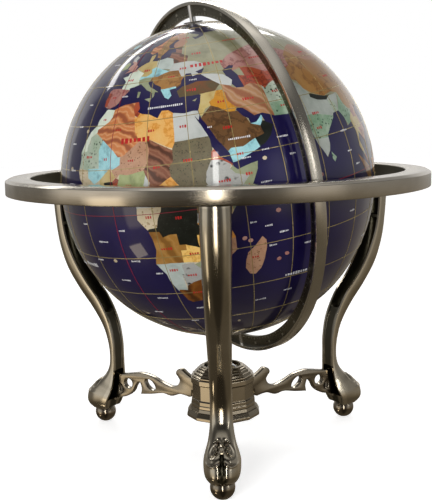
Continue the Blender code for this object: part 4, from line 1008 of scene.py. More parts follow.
LAND_MARK_HEIGHT = 2.7
MARK_PITCH = 0.86                                   # from stroke to stroke, as a share of their height
MARK_THICKNESS = 0.5


def add_mark(bm, number, height, longitude, latitude, length, title_height=None):
    """A row of short uneven strokes along a parallel."""
    height = title_height or height
    pitch = MARK_PITCH * height
    for i in range(round(length / pitch)):
        step = math.degrees((i * pitch - length / 2) / BALL_RADIUS) / math.cos(math.radians(latitude))
        up = on_globe(longitude + step, latitude)
        east = Vector((-up.y, up.x, 0.0)).normalized()
        place = axes(east, up, up * (LINE_TOP - MARK_THICKNESS / 2))
        lean = 0.5 + 0.5 * math.sin(number * 2.3 + i * 1.9)
        width = pitch * (0.45 + 0.3 * lean)
        tall = height * (0.62 + 0.38 * math.cos(number + i * 2.7) ** 2)
        add_box(bm, place, (width, tall, MARK_THICKNESS))


def make_marks():
    for name, marks, material, height in (("ocean_marks", OCEAN_MARKS, white_mark, OCEAN_MARK_HEIGHT),
                                          ("land_marks", LAND_MARKS, red_mark, LAND_MARK_HEIGHT)):
        bm = bmesh.new()
        for number, mark in enumerate(marks):
            add_mark(bm, number, height, *mark)
        add_piece(name, bm, material, "globe", GLOBE_AXES)


make_ocean()
make_stones()
make_map_lines()
make_marks()


# ---------------------------------------------------------------- shapes cut and filled by Blender

def evaluated(obj):
    """The object's mesh with its modifiers, as a new bmesh."""
    seen = obj.evaluated_get(bpy.context.evaluated_depsgraph_get())
    bm = bmesh.new()
    bm.from_mesh(seen.to_mesh())
    seen.to_mesh_clear()
    return bm


def add_copy(bm, other):
    """Copy another bmesh into this one and free it."""
    mesh = mesh_from("copied", other)
    bm.from_mesh(mesh)
    bpy.data.meshes.remove(mesh)


def cut(bm, *tools):
    """Take closed shapes away from a closed shape."""
    target, *cutters = [linked("temporary", mesh_from("temporary", shape)) for shape in (bm, *tools)]
    for cutter in cutters:
        modifier = target.modifiers.new("cut", "BOOLEAN")
        modifier.object = cutter
        modifier.operation = "DIFFERENCE"
        modifier.solver = "EXACT"
    result = evaluated(target)
    for obj in (target, *cutters):
        bpy.data.objects.remove(obj, do_unlink=True)
    return result


def drilled(bm, radius, low, high, *places):
    """Drill a round hole from low to high along Z of each placing matrix."""
    tools = []
    for place in places:
        tool = turned([(0, low), (radius, low), (radius, high), (0, high)], 32, closed=False)
        bmesh.ops.transform(tool, matrix=place, verts=tool.verts)
        tools.append(tool)
    return cut(bm, *tools)


def flat_shape(outlines, thickness, edge):
    """A plate in the XZ plane from its outline and its windows, with rounded edges."""
    data = bpy.data.curves.new("plate", "CURVE")
    data.dimensions = "2D"
    data.fill_mode = "BOTH"
    data.extrude = thickness / 2 - edge
    data.bevel_depth = edge
    data.bevel_resolution = 2
    data.offset = -edge
    for outline in outlines:
        spline_data = data.splines.new("POLY")
        spline_data.points.add(len(outline) - 1)
        for point, (x, z) in zip(spline_data.points, outline):
            point.co = (x, z, 0.0, 1.0)
        spline_data.use_cyclic_u = True
    obj = linked("plate", data)
    bm = evaluated(obj)
    bpy.data.objects.remove(obj, do_unlink=True)
    bmesh.ops.transform(bm, matrix=Z_FROM_Y, verts=bm.verts)
    return tidy(bm)


def add_figures(bm, text, size, thickness, place):
    """Add a number, centred on the placing matrix and facing along its Z."""
    data = bpy.data.curves.new("figures", "FONT")
    data.body = text
    data.size = size
    data.extrude = thickness / 2
    data.align_x = "CENTER"
    data.align_y = "CENTER"
    obj = linked("figures", data)
    figures = tidy(evaluated(obj))
    bpy.data.objects.remove(obj, do_unlink=True)
    bmesh.ops.transform(figures, matrix=place, verts=figures.verts)
    add_copy(bm, figures)


# ---------------------------------------------------------------- rings

RING_STEPS = 288
HORIZON_TOP = top("horizon_ring")
HORIZON_BOTTOM = bottom("horizon_ring")
HORIZON_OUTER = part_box("horizon_ring")[1].x / MM
HORIZON_WIDTH = 26.0
HORIZON_INNER = HORIZON_OUTER - HORIZON_WIDTH
LEG_SCREW_REACH = 213.0
LEG_SCREW_RADIUS = 2.4
MERIDIAN_CORNER = 5.25                              # from the ring's middle plane to its farthest corner
MERIDIAN_OUTER = math.sqrt(reach("meridian_ring") ** 2 - MERIDIAN_CORNER ** 2)
MERIDIAN_DEPTH = 15.0
MERIDIAN_INNER = MERIDIAN_OUTER - MERIDIAN_DEPTH
WEB_HALF = 1.85                                     # half the thickness of the meridian ring's web
FLANGE_DEPTH = 3.3
FLANGE_HALF = 5.85                                  # half the width of the meridian ring's outer face
PIVOT_PIN_RADIUS = 3.0
AXIS_PIN_RADIUS = 3.3


def make_horizon_ring():
    outer, inner, low, high = HORIZON_OUTER, HORIZON_INNER, HORIZON_BOTTOM, HORIZON_TOP
    profile = [(inner, low + 1), (inner + 1, low), (outer - 1, low), (outer - 0.25, low + 0.3),
               (outer, low + 1), (outer, high - 2.7), (outer - 0.2, high - 2.35), (outer - 3.7, high - 0.2),
               (outer - 4.3, high), (inner + 1.1, high), (inner + 0.35, high - 0.3), (inner, high - 1)]
    bm = turned(profile, RING_STEPS)
    pivots = [axes(Vector((0, 0, 1)), PIVOT * sign, CENTRE / MM) for sign in (1, -1)]
    bm = drilled(bm, PIVOT_PIN_RADIUS + FIT, inner - 6, inner + 12, *pivots)
    bm = drilled(bm, LEG_SCREW_RADIUS + FIT, -5, 10, *at_legs(Matrix.Translation((LEG_SCREW_REACH, 0, low))))
    # Painted shade: faces on the inner wall take the dark copy of the nickel.
    for face in bm.faces:
        middle = face.calc_center_median()
        face.material_index = int(math.hypot(middle.x, middle.y) < inner + 0.2)
    add_piece("horizon_ring_brushed", bm, [nickel_round, inner_wall_shade], "stand", replaces=["horizon_ring"],
              sharp=24)


def make_meridian_ring():
    outer, inner = MERIDIAN_OUTER, MERIDIAN_INNER
    flange = outer - FLANGE_DEPTH
    half = [(inner, 1.75), (inner + 0.25, 2.0), (inner + 0.9, 2.0), (inner + 1.1, WEB_HALF),
            (flange - 0.6, WEB_HALF), (flange - 0.2, 2.05), (flange, 2.5), (flange, FLANGE_HALF - 0.25),
            (flange + 0.25, FLANGE_HALF), (outer - 0.6, FLANGE_HALF), (outer - 0.15, FLANGE_HALF - 0.15),
            (outer, MERIDIAN_CORNER)]
    bm = turned(half + [(radius, -height) for radius, height in half[::-1]], RING_STEPS)
    bmesh.ops.transform(bm, matrix=Z_FROM_Y, verts=bm.verts)
    pivots = [X_FROM_Z, turned_about_z(180) @ X_FROM_Z]
    bm = drilled(bm, PIVOT_PIN_RADIUS + FIT, inner - 3, outer + 3, *pivots)
    bm = drilled(bm, AXIS_PIN_RADIUS + FIT, inner - 3, outer + 3, Matrix(), Matrix.Rotation(math.pi, 4, "X"))
    # Painted shade: faces on the recessed web take the darker copy of the nickel.
    for face in bm.faces:
        middle = face.calc_center_median()
        on_web = abs(middle.y) < WEB_HALF + 0.35 and math.hypot(middle.x, middle.z) < flange - 0.1
        face.material_index = int(on_web)
    add_piece("meridian_ring_brushed", bm, [nickel_meridian, web_metal_shade], "meridian", GLOBE_AXES,
              ["meridian_ring"], sharp=24)


TICK_START = 1.5                                    # from the meridian ring's inner edge
TICK_WIDTH = 0.35
TICK_LENGTHS = {True: 2.6, False: 1.3}              # at whole tens, and between them
TICK_STEP = 2                                       # degrees
SCALE_FIGURE_SIZE = 3.6
SCALE_FIGURE_PLACE = 7.1                            # from the meridian ring's inner edge
SCALE_PROUD = 0.12
SCALE_SUNK = 0.03


def make_meridian_scale():
    """Degree ticks and numbers on both sides of the web, counted from the equator to the poles."""
    bm = bmesh.new()
    for side in (1, -1):
        facing = Matrix.Rotation(math.radians(90 * side), 4, "X")
        lift = Matrix.Translation((0, 0, WEB_HALF + SCALE_PROUD / 2 - SCALE_SUNK))
        for degree in range(0, 360, TICK_STEP):
            turn = turned_about_z(degree)
            length = TICK_LENGTHS[degree % 10 == 0]
            across = Matrix.Translation((MERIDIAN_INNER + TICK_START + length / 2, 0, 0))
            add_box(bm, facing @ lift @ turn @ across, (length, TICK_WIDTH, SCALE_PROUD))
            from_equator = min(degree % 180, 180 - degree % 180)
            if degree % 10 == 0 and from_equator not in (0, 90):
                middle = turn @ Matrix.Translation((MERIDIAN_INNER + SCALE_FIGURE_PLACE, 0, 0))
                place = facing @ lift @ middle @ turned_about_z(-90)
                add_figures(bm, str(from_equator), SCALE_FIGURE_SIZE, SCALE_PROUD, place)
    add_piece("meridian_scale", bm, scale_metal, "meridian", GLOBE_AXES)


# ---------------------------------------------------------------- legs and feet

LEG_TOP = HORIZON_BOTTOM - 0.3
# Down the leg: outer face (reach, height), inner rim (reach, height), half width.
LEG_STATIONS = [
    (221.5, LEG_TOP, 204.0, LEG_TOP, 14.5), (222.0, 262.0, 207.0, 262.0, 14.3),
    (220.0, 236.0, 205.5, 237.0, 13.7), (216.0, 210.0, 201.0, 215.0, 13.2),
    (206.5, 183.0, 191.0, 191.5, 12.7), (190.0, 158.5, 176.5, 169.0, 12.2),
    (171.5, 136.5, 159.5, 148.0, 11.8), (157.5, 115.5, 147.0, 124.0, 11.3),
    (151.0, 96.5, 141.5, 100.5, 10.8), (149.2, 80.0, 140.8, 80.0, 10.8), (151.8, 67.5, 141.0, 64.0, 11.4),
    (159.5, 57.0, 142.0, 50.0, 13.4), (172.0, 48.0, 143.5, 41.0, 16.0), (181.5, 38.5, 146.0, 34.5, 17.8),
    (184.5, 28.5, 149.0, 28.5, 18.0), (183.0, 22.5, 151.0, 22.5, 17.0), (177.5, 18.0, 152.5, 18.0, 14.5),
]
# How deep the hollow back is, as a share of the full depth, at positions down the leg.
LEG_HOLLOW = [
    (0.0, 0.03), (0.57, 0.03), (0.59, 1.0), (1.95, 1.0), (2.0, 0.4), (2.12, 0.4), (2.17, 1.0),
    (6.4, 1.0), (6.5, 0.35), (6.62, 0.08), (9.95, 0.08), (10.0, 1.0), (13.98, 1.0), (14.0, 0.03),
    (16.0, 0.03),
]
LEG_WALL = 2.8
LEG_SQUARENESS = 2.6
LEG_STEP = 0.1                                      # stations between sections of the leg
PAW_STATION = 10.5                                  # from here down the sections are twice as close
OUTSIDE_POINTS = 44
INSIDE_POINTS = 14
FOOT_REACH = 163.0
FOOT_RADIUS = 12.0
FOOT_FLAT = 3.0
FOOT_CENTRE = math.sqrt(FOOT_RADIUS ** 2 - FOOT_FLAT ** 2)
STUD_RADIUS = 3.0
STUD_TOP = 37.0
STUD_CHAMFER = 0.6
PAW_TOP = 62.0                                      # the carving on the paw starts at this height
LEAF_MIDDLE = 49.5                                  # height of the paw's two leaves
RIDGE_HEIGHT = 41.2                                 # height of the ridge over the toes, at its middle
TOE_MIDDLE = 9.0                                    # from the paw's middle to a toe's


def smooth(value, low, high):
    """0 at low, 1 at high, with soft ends. low may be above high."""
    share = min(max((value - low) / (high - low), 0.0), 1.0)
    return share * share * (3 - 2 * share)


def bell(value):
    return math.exp(-value * value)


def paw_relief(across, height):
    """How far the paw's cast face stands out, in millimetres, at a place across and up the leg."""
    if height > PAW_TOP:
        return 0.0
    side = abs(across)
    lean = side - 7.0 + 0.6 * (height - LEAF_MIDDLE)
    leaf = math.hypot(lean / 3.4, (height - LEAF_MIDDLE) / 6.2)
    relief = -1.4 * bell((leaf - 1) / 0.22) + 0.9 * max(0.0, 1 - leaf * leaf)
    relief -= 0.8 * bell(lean / 0.7) * smooth(leaf, 0.75, 0.4)
    ridge = RIDGE_HEIGHT - 0.42 * min(side, TOE_MIDDLE)
    relief -= 0.9 * smooth(height, ridge - 1.4, ridge + 1.4) * smooth(height, ridge + 5, ridge + 2)
    relief += 1.1 * bell((height - ridge + 0.4) / 1.0)
    toe = 1 - ((side - TOE_MIDDLE) / 9.5) ** 2
    relief += 2.4 * (math.sqrt(max(toe, 0.0)) - 1) * smooth(height, ridge - 0.5, ridge - 4)
    groove = smooth(height, 48, 45) * (0.35 + 0.65 * smooth(height, 28, 33)) * smooth(height, 16, 22)
    relief -= 3.2 * bell(across / 1.3) * groove
    relief += 1.3 * bell(across / 1.9) * bell((height - LEAF_MIDDLE - 2) / 1.3)
    return relief


def hollow_share(position):
    for (start, low), (end, high) in zip(LEG_HOLLOW, LEG_HOLLOW[1:]):
        if position <= end:
            return low + (high - low) * (position - start) / (end - start)
    return LEG_HOLLOW[-1][1]


def rounded_half(half_width, depth, steps):
    """Half of a squared-off ellipse, from one rim to the other."""
    power = 2 / LEG_SQUARENESS
    points = []
    for i in range(steps + 1):
        angle = math.pi * i / steps
        across = math.copysign(abs(math.cos(angle)) ** power, math.cos(angle)) * half_width
        points.append((across, abs(math.sin(angle)) ** power * depth))
    return points


def leg_section(position):
    """One section of the leg: the round outer face, then back along the hollow inside."""
    out_x, out_z, rim_x, rim_z, half_width = spline(LEG_STATIONS, position)
    rim = Vector((rim_x, 0.0, rim_z))
    outward = Vector((out_x, 0.0, out_z)) - rim
    depth = outward.length
    outward.normalize()
    points = []
    for across, deep in rounded_half(half_width, depth, OUTSIDE_POINTS):
        place = rim + outward * deep + Vector((0.0, across, 0.0))
        facing = smooth(deep / depth, 0.45, 0.85)
        points.append(place + outward * paw_relief(across, place.z) * facing)
    inner_depth = (depth - LEG_WALL) * hollow_share(position)
    for across, deep in rounded_half(half_width - LEG_WALL, inner_depth, INSIDE_POINTS)[::-1]:
        points.append(rim + outward * deep + Vector((0.0, across, 0.0)))
    return points


def leg_positions():
    """Even steps down the leg, with those close to an edge of the hollow moved on to it."""
    edges = [position for position, _ in LEG_HOLLOW]
    even = [i * LEG_STEP for i in range(round(PAW_STATION / LEG_STEP))]
    paw_length = len(LEG_STATIONS) - 1 - PAW_STATION
    even += [PAW_STATION + i * LEG_STEP / 2 for i in range(round(2 * paw_length / LEG_STEP) + 1)]
    near = 0.3 * LEG_STEP
    return sorted([p for p in even if all(abs(p - edge) > near for edge in edges)] + edges)


def leg_shape():
    bm = bmesh.new()
    rings = [[bm.verts.new(point) for point in leg_section(position)] for position in leg_positions()]
    count = len(rings[0])
    for upper, lower in zip(rings, rings[1:]):
        for i in range(count):
            j = (i + 1) % count
            bm.faces.new((upper[i], upper[j], lower[j], lower[i]))
    bm.faces.new(rings[0])
    bm.faces.new(rings[-1])
    bmesh.ops.triangulate(bm, faces=bm.faces)
    tidy(bm)
    foot = Matrix.Translation((FOOT_REACH, 0, 0))
    seat = turned([(0, -1.0)] + arc((0, FOOT_CENTRE), FOOT_RADIUS + FIT, -80, 80, 24)
                  + [(0, FOOT_CENTRE + FOOT_RADIUS + FIT)], 48, closed=False)
    bmesh.ops.transform(seat, matrix=foot, verts=seat.verts)
    bm = drilled(cut(bm, seat), STUD_RADIUS + FIT, FOOT_CENTRE, STUD_TOP, foot)
    # Painted shade: faces inside the hollow back take the dark copy of the nickel.
    for face in bm.faces:
        across = face.calc_center_median().y
        faces_middle = face.normal.y * across < -0.1 * abs(across)
        face.material_index = int(faces_middle or (abs(across) < 6 and face.normal.x < -0.2))
    return bm


def make_legs():
    leg = leg_shape()
    flat_angle = -math.degrees(math.acos(FOOT_FLAT / FOOT_RADIUS))
    neck_angle = math.degrees(math.acos(STUD_RADIUS / FOOT_RADIUS))
    foot_profile = [(0, 0)] + arc((0, FOOT_CENTRE), FOOT_RADIUS, flat_angle, neck_angle, 36)
    foot_profile += [(STUD_RADIUS, STUD_TOP - STUD_CHAMFER), (STUD_RADIUS - STUD_CHAMFER, STUD_TOP),
                     (0, STUD_TOP)]
    for side, azimuth in LEG_AZIMUTHS.items():
        place = turned_about_z(azimuth)
        add_piece(f"leg_{side}_cast", leg.copy(), [nickel_cast, leg_hollow_shade], "stand", place, [f"leg_{side}"],
                  sharp=40)
        add_piece(f"ball_foot_{side}_turned", turned(foot_profile, 72, closed=False), foot_metal, "stand",
                  place @ Matrix.Translation((FOOT_REACH * MM, 0, 0)), [f"ball_foot_{side}"])
    leg.free()


# ---------------------------------------------------------------- struts

HUB_SIDES = 12
HUB_RADIUS = 33.9
HUB_FACE = HUB_RADIUS * math.cos(math.pi / HUB_SIDES) + FIT
PAW_FLOOR = 28.5
STRUT_THICKNESS = 7.0
STRUT_EDGE = 0.9                                    # how far a strut's edges are rounded
TAB_MIDDLE = 157.5                                  # the tab is held in the paw by the foot's nut
TAB_SIZE = (27, 13, 2.5)
HUB_SCREW_HEIGHT = 56
HUB_SCREW_RADIUS = 2.0
HUB_SCREW_END = 47                                  # how far from the hub's middle its holes reach
BASE_SCREW_REACH = 20.0
BASE_SCREW_RADIUS = 1.8
STRUT_TOP_EDGE = [(148.5, 60.5), (134, 60.8), (118, 63.6), (107, 65), (93, 62.8), (78, 56.8),
                  (66, 54), (58, 56.6), (54.5, 62), (56.5, 66.3), (59.3, 70), (57.5, 74.3), (52, 75.8),
                  (45.5, 71.5), (39.5, 68)]
STRUT_HUB_END = [(39.5, 68), (HUB_FACE, 67.8), (HUB_FACE, 53.2), (38.5, 53.2), (38.5, 46)]
STRUT_LOWER_EDGE = [(42, 44.8), (54, 46.6), (66, 43), (78, 44.6), (93, 41.8), (108.5, 39.8)]
STRUT_ARCH = [(108.5, 39.8), (107.3, 47), (110.3, 53.8), (115.5, 49), (120, 41), (128, 35),
              (138, 32), (146, PAW_FLOOR + FIT)]


def curve(points, steps):
    """Points along the Catmull-Rom curve through the given points, last one left out."""
    return [tuple(spline(points, i / steps)) for i in range((len(points) - 1) * steps)]


def oval(centre, long_radius, short_radius, slant, count=40):
    """An ellipse whose long axis leans slant degrees from +X."""
    lean = Matrix.Rotation(math.radians(slant), 2)
    points = []
    for i in range(count):
        angle = math.tau * i / count
        point = lean @ Vector((long_radius * math.cos(angle), short_radius * math.sin(angle)))
        points.append((centre[0] + point.x, centre[1] + point.y))
    return points


HUB_SCREW = Matrix.Translation((0, 0, HUB_SCREW_HEIGHT)) @ X_FROM_Z


def make_struts():
    outline = curve(STRUT_TOP_EDGE, 7) + STRUT_HUB_END + curve(STRUT_LOWER_EDGE, 7)
    outline += curve(STRUT_ARCH, 7) + [(146, PAW_FLOOR + FIT), (148.5, PAW_FLOOR + FIT)]
    windows = [oval((126, 50.5), 5.6, 5.6, 0), oval((95, 52.5), 8.2, 4.6, 40), oval((137, 43), 4.8, 2.0, 80)]
    plate = flat_shape([outline] + windows, STRUT_THICKNESS, STRUT_EDGE)
    add_box(plate, Matrix.Translation((TAB_MIDDLE, 0, PAW_FLOOR + FIT + TAB_SIZE[2] / 2)), TAB_SIZE)
    stud = Matrix.Translation((FOOT_REACH, 0, 0))
    plate = drilled(plate, STUD_RADIUS + FIT, 26, 34, stud)
    plate = drilled(plate, HUB_SCREW_RADIUS + FIT, 30, HUB_SCREW_END, HUB_SCREW)
    for side, azimuth in LEG_AZIMUTHS.items():
        add_piece(f"strut_{side}_cast", plate.copy(), bronze_cast, "stand", turned_about_z(azimuth),
                  [f"strut_{side}"], sharp=40)
    plate.free()


# ---------------------------------------------------------------- hub and compass

# Radius and height round each piece of the hub, and whether the profile closes on itself.
HUB_PROFILES = {
    "hub_base": ([(0, 38), (30, 38), (30, 32), (39.7, 32), (40.7, 33), (40.7, 35.5), (38.2, 40),
                  (36.8, 40), (36, 43.7), (0, 43.7)], False),
    "hub_body": ([(14, 44), (36, 44), (36, 47), (35.3, 47.6), (35.3, 51.4), (HUB_RADIUS, 52.6),
                  (HUB_RADIUS, 68.4), (35.4, 69.8), (35.4, 74.6), (34.2, 75.7), (28.5, 75.7), (28.5, 49.5),
                  (14, 49.5)], True),
    "hub_cap": ([(34.2, 76), (34.2, 77.3), (32.2, 78), (31.2, 80.2), (29.4, 80.8), (28.4, 82.8),
                 (26.9, 83.3), (25.9, 85), (24.4, 85.4), (23.4, 86.7), (20.4, 86.9), (20.4, 83),
                 (24.8, 83), (24.8, 76)], True),
}
HUB_EDGE = 0.3                                      # width of the hub's bevelled edges


def make_hub():
    flat_to_leg = turned_about_z(180 / HUB_SIDES)
    base_screw = Matrix.Translation((BASE_SCREW_REACH, 0, 0))
    for node, (profile, closed) in HUB_PROFILES.items():
        bm = turned(profile, HUB_SIDES, closed)
        bmesh.ops.transform(bm, matrix=flat_to_leg, verts=bm.verts)
        bmesh.ops.bevel(bm, geom=bm.edges, offset=HUB_EDGE, segments=2, affect="EDGES", profile=0.5)
        tidy(bm)
        if node != "hub_cap":
            bm = drilled(bm, BASE_SCREW_RADIUS + FIT, 30, 52, *at_legs(base_screw))
        if node == "hub_body":
            bm = drilled(bm, HUB_SCREW_RADIUS + FIT, 20, 40, *at_legs(HUB_SCREW))
        add_piece(f"{node}_cast", bm, hub_metal, "stand", replaces=[node], sharp=8)


DIAL_TOP = top("compass_dial")
DIAL_EDGE = 21                                      # radius of the ring of strokes
DIAL_STROKES = {True: 2.2, False: 1.2}              # their lengths at the numbers, and between them
DIAL_FIGURE_SIZE = 2.6
DIAL_FIGURE_PLACE = 16.8
STAR_LENGTHS = (13.5, 9.0)
PRINT_THICKNESS = 0.1


def make_dial_print():
    """Degree strokes, numbers every thirty degrees and an eight-pointed star, on the compass dial."""
    bm = bmesh.new()
    half = PRINT_THICKNESS / 2
    lift = Matrix.Translation((0, 0, DIAL_TOP + half))
    for degree in range(0, 360, 5):
        turn = turned_about_z(degree)
        length = DIAL_STROKES[degree % 30 == 0]
        stroke = Matrix.Translation((0, DIAL_EDGE - length / 2, 0))
        add_box(bm, lift @ turn @ stroke, (TICK_WIDTH, length, PRINT_THICKNESS))
        if degree % 30 == 0:
            place = lift @ turn @ Matrix.Translation((0, DIAL_FIGURE_PLACE, 0))
            add_figures(bm, str((360 - degree) % 360), DIAL_FIGURE_SIZE, PRINT_THICKNESS, place)
    for point in range(8):
        turn = turned_about_z(45 * point)
        corners = [(0, STAR_LENGTHS[point % 2]), (1.9, 3.6), (0, 1.6)]
        low = [bm.verts.new(lift @ turn @ Vector((x, y, -half))) for x, y in corners]
        high = [bm.verts.new(lift @ turn @ Vector((x, y, half))) for x, y in corners]
        bm.faces.new(low)
        bm.faces.new(high[::-1])
        for i in range(3):
            j = (i + 1) % 3
            bm.faces.new((low[j], low[i], high[i], high[j]))
    bmesh.ops.recalc_face_normals(bm, faces=bm.faces)
    add_piece("compass_dial_print", bm, ink, "stand")


NEEDLE_LOW = bottom("compass_needle")
NEEDLE_CORNERS = ((-2.4, 0), (0, 17.5), (2.4, 0))   # of the half that points along +Y
NEEDLE_RIM = 0.3                                    # thickness at the blade's edge
NEEDLE_RIDGE = 0.8                                  # thickness at the blade's middle


def make_needle():
    """A ridged two-colour blade with a brass cap."""
    bm = bmesh.new()
    for sign, colour in ((1, 0), (-1, 1)):
        low = [bm.verts.new((x, sign * y, 0)) for x, y in NEEDLE_CORNERS]
        high = [bm.verts.new((x, sign * y, NEEDLE_RIM)) for x, y in NEEDLE_CORNERS]
        high.append(bm.verts.new((0, 0, NEEDLE_RIDGE)))
        for corners in ((low[0], low[1], low[2]), (high[0], high[1], high[3]), (high[1], high[2], high[3]),
                        (low[0], low[1], high[1], high[0]), (low[1], low[2], high[2], high[1]),
                        (low[0], high[0], high[3], high[2], low[2])):
            bm.faces.new(corners).material_index = colour
    bmesh.ops.recalc_face_normals(bm, faces=bm.faces)
    cap = turned([(0, 0.1), (2.0, 0.1), (2.0, 1.2), (1.7, 1.7), (1.0, 2.0), (0, 2.0)], 32, closed=False)
    first = len(bm.faces)
    add_copy(bm, cap)
    bm.faces.ensure_lookup_table()
    for face in bm.faces[first:]:
        face.material_index = 2
    add_piece("compass_needle_blade", bm, [needle_red, needle_pale, brass], "needle",
              Matrix.Translation((0, 0, NEEDLE_LOW * MM)), ["compass_needle"], sharp=20)


def dome(radius, rim_height, top_height, count):
    """A shallow dome's profile from its top on the axis to its rim."""
    rise = top_height - rim_height
    sphere = (radius ** 2 + rise ** 2) / (2 * rise)
    start = math.degrees(math.acos(radius / sphere))
    return arc((0, top_height - sphere), sphere, 90, start, count)


LENS_OUTSIDE = (19.2, 82.9, 89.0)                   # radius and height of the rim, height of the top
LENS_INSIDE = (17.9, 81.7, 87.8)
LENS_FLANGE = [(23.2, 82.7), (23.2, 80.5), (17.9, 80.5)]
LENS_ROWS = 24
LENS_STEPS = 96


def make_lens():
    profile = dome(*LENS_OUTSIDE, LENS_ROWS) + LENS_FLANGE + dome(*LENS_INSIDE, LENS_ROWS)[::-1]
    add_piece("compass_lens_clear", turned(profile, LENS_STEPS, closed=False), lens_glass, "stand",
              replaces=["compass_lens"])


make_horizon_ring()
make_meridian_ring()
make_meridian_scale()
make_legs()
make_struts()
make_hub()
make_dial_print()
make_needle()
make_lens()


# ---------------------------------------------------------------- materials of the CAD parts that stay

NODE_MATERIALS = {
    "foot_nut": dark_steel, "leg_screw": dark_steel, "hub_screw": dark_steel, "base_screw": dark_steel,
    "axis_pin": chrome, "pivot_pin": chrome, "axis_washer": dark_steel, "pivot_spacer": brass,
    "pole_bush": brass, "joining_ring": dark_steel, "compass_bowl": brass, "compass_pivot": chrome,
    "compass_dial": dial_paper,
}
for name, node in frame["nodes"].items():
    for prefix, material in NODE_MATERIALS.items():
        if name.startswith(prefix):
            node.data.materials.clear()
            node.data.materials.append(material)


# ---------------------------------------------------------------- studio

# Soft-edged panels that the object reflects: left and right azimuth from the camera side, low and high
# elevation, width of the soft edge, all in degrees, and strength.
PANELS = [
    (-102, -32, -24, 24, 18, 0.55), (30, 74, -22, 24, 14, 0.28),
    (-176, -128, 30.5, 36, 1.5, 5.0), (-181, -168, 24, 41, 1.5, 6.0), (166, 181, 26, 42, 1.5, 6.0),
    (-80, -66, -43, -34, 1, 3.0), (-73, -47, -27, -10, 4, 1.1), (-3, 2, -18, 24, 1, 10.0),
    (57, 60, 4, 28, 1, 5.0), (50, 52, 12, 28, 1, 4.0),
    (-220, 220, 42, 120, 24, 0.4), (-180, -135, 54, 86, 8, 0.3), (135, 180, 54, 86, 8, 0.3),
]


def studio_world():
    """What the object reflects: a pale wall behind, a dim room in front, and long soft lamps.

    The camera itself sees a plain white backdrop.
    """
    world = bpy.data.worlds.new("studio")
    bpy.context.scene.world = world
    tree = Tree(world)
    x, y, z = tree.split(tree.add("ShaderNodeTexCoord", "Generated"))
    azimuth = tree.math("MULTIPLY", tree.math("ARCTAN2", x, tree.math("MULTIPLY", y, -1.0)), math.degrees(1))
    elevation = tree.math("MULTIPLY", tree.math("ARCSINE", z), math.degrees(1))

    def lamp(left, right, low, high, soft, strength):
        """Brightness of a panel."""
        inside = tree.math("MULTIPLY", tree.span(azimuth, left, left + soft, smooth=True),
                           tree.span(azimuth, right, right - soft, smooth=True))
        inside = tree.math("MULTIPLY", inside, tree.span(elevation, low, low + soft, smooth=True))
        inside = tree.math("MULTIPLY", inside, tree.span(elevation, high, high - soft, smooth=True))
        return tree.math("MULTIPLY", inside, strength)

    away = tree.math("ABSOLUTE", azimuth)
    light = tree.math("ADD", tree.span(away, 12, 46, 0.085, 0.20, smooth=True),
                      tree.span(azimuth, 30, 60, 0.0, 0.08, smooth=True))
    wall = tree.math("MULTIPLY", tree.span(away, 131, 136, 0.0, 0.48, smooth=True),
                     tree.span(elevation, -6, 3, 0.1, 1.0, smooth=True))
    light = tree.math("ADD", light, wall)
    light = tree.math("MULTIPLY", light, tree.span(elevation, -30, -8, 0.42, 1.0, smooth=True))
    light = tree.math("MULTIPLY", light, tree.span(elevation, 12, 30, 1.0, 0.4, smooth=True))
    for panel in PANELS:
        light = tree.math("ADD", light, lamp(*panel))
    backdrop = tree.add("ShaderNodeLightPath", "Is Camera Ray")
    room = tree.mix(tree.span(elevation, -20, 0), (0.95, 0.80, 0.58), (1.0, 0.985, 0.96))
    background = tree.nodes["Background"]
    tree.link(tree.mix(backdrop, room, (1.0, 1.0, 1.0)), background.inputs["Color"])
    strength = tree.math("ADD", tree.math("MULTIPLY", light, tree.math("SUBTRACT", 1.0, backdrop)), backdrop)
    tree.link(strength, background.inputs["Strength"])


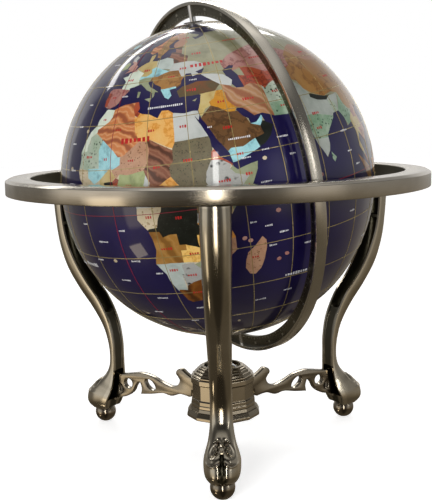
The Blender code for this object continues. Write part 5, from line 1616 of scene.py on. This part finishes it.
def add_area_light(name, place, size, watts):
    """A soft lamp aimed at the ball, for matt surfaces. The world's panels make the reflections."""
    data = bpy.data.lights.new(name, "AREA")
    data.size = size
    data.energy = watts
    light = linked(name, data)
    light.location = place
    light.rotation_euler = (CENTRE - Vector(place)).to_track_quat("-Z", "Y").to_euler()
    light.visible_glossy = False


FLOOR_SIZE = 6.0                                    # metres from its middle to its edge
FLOOR_GLOW = 0.66                                   # keeps the floor as white as the backdrop


def make_floor():
    bm = bmesh.new()
    bmesh.ops.create_grid(bm, x_segments=2, y_segments=2, size=FLOOR_SIZE)
    mesh = mesh_from("floor", bm)
    material, tree, shader, place = new_material("floor_paper")
    cloud = tree.noise(place, 3.0)
    tree.link(tree.ramp(cloud, [(0.3, (0.88, 0.88, 0.88)), (0.7, (0.90, 0.90, 0.90))]),
              shader.inputs["Base Color"])
    shader.inputs["Roughness"].default_value = 0.9
    shader.inputs["Specular IOR Level"].default_value = 0.0
    shader.inputs["Emission Color"].default_value = (1.0, 1.0, 1.0, 1.0)
    shader.inputs["Emission Strength"].default_value = FLOOR_GLOW
    mesh.materials.append(material)
    floor = linked("floor", mesh)
    floor.visible_glossy = False
    floor.visible_diffuse = False


CAMERA_PLACE = Vector((0.0149, -1.0287, 0.3576))
CAMERA_TARGET = Vector((-0.0038, 0.0, 0.2131))
CAMERA_ROLL = math.radians(-1.40)
CAMERA_SENSOR = 36.0                                # millimetres
CAMERA_LENS = 69.5                                  # millimetres


def make_camera():
    data = bpy.data.cameras.new("camera")
    data.sensor_width = CAMERA_SENSOR
    data.lens = CAMERA_LENS
    camera = linked("camera", data)
    forward = (CAMERA_TARGET - CAMERA_PLACE).normalized()
    right = forward.cross(Vector((0, 0, 1))).normalized()
    up = right.cross(forward)
    x_axis = math.cos(CAMERA_ROLL) * right + math.sin(CAMERA_ROLL) * up
    camera.matrix_world = axes(x_axis, -forward, CAMERA_PLACE)
    bpy.context.scene.camera = camera


studio_world()
make_floor()
make_camera()
add_area_light("key_light", (-0.5, -1.5, 0.55), size=0.7, watts=15)
add_area_light("fill_light", (1.2, -0.9, 0.25), size=0.7, watts=5)
add_area_light("top_light", (0.1, 0.2, 1.6), size=1.2, watts=2)
bpy.context.scene.view_settings.view_transform = "Standard"
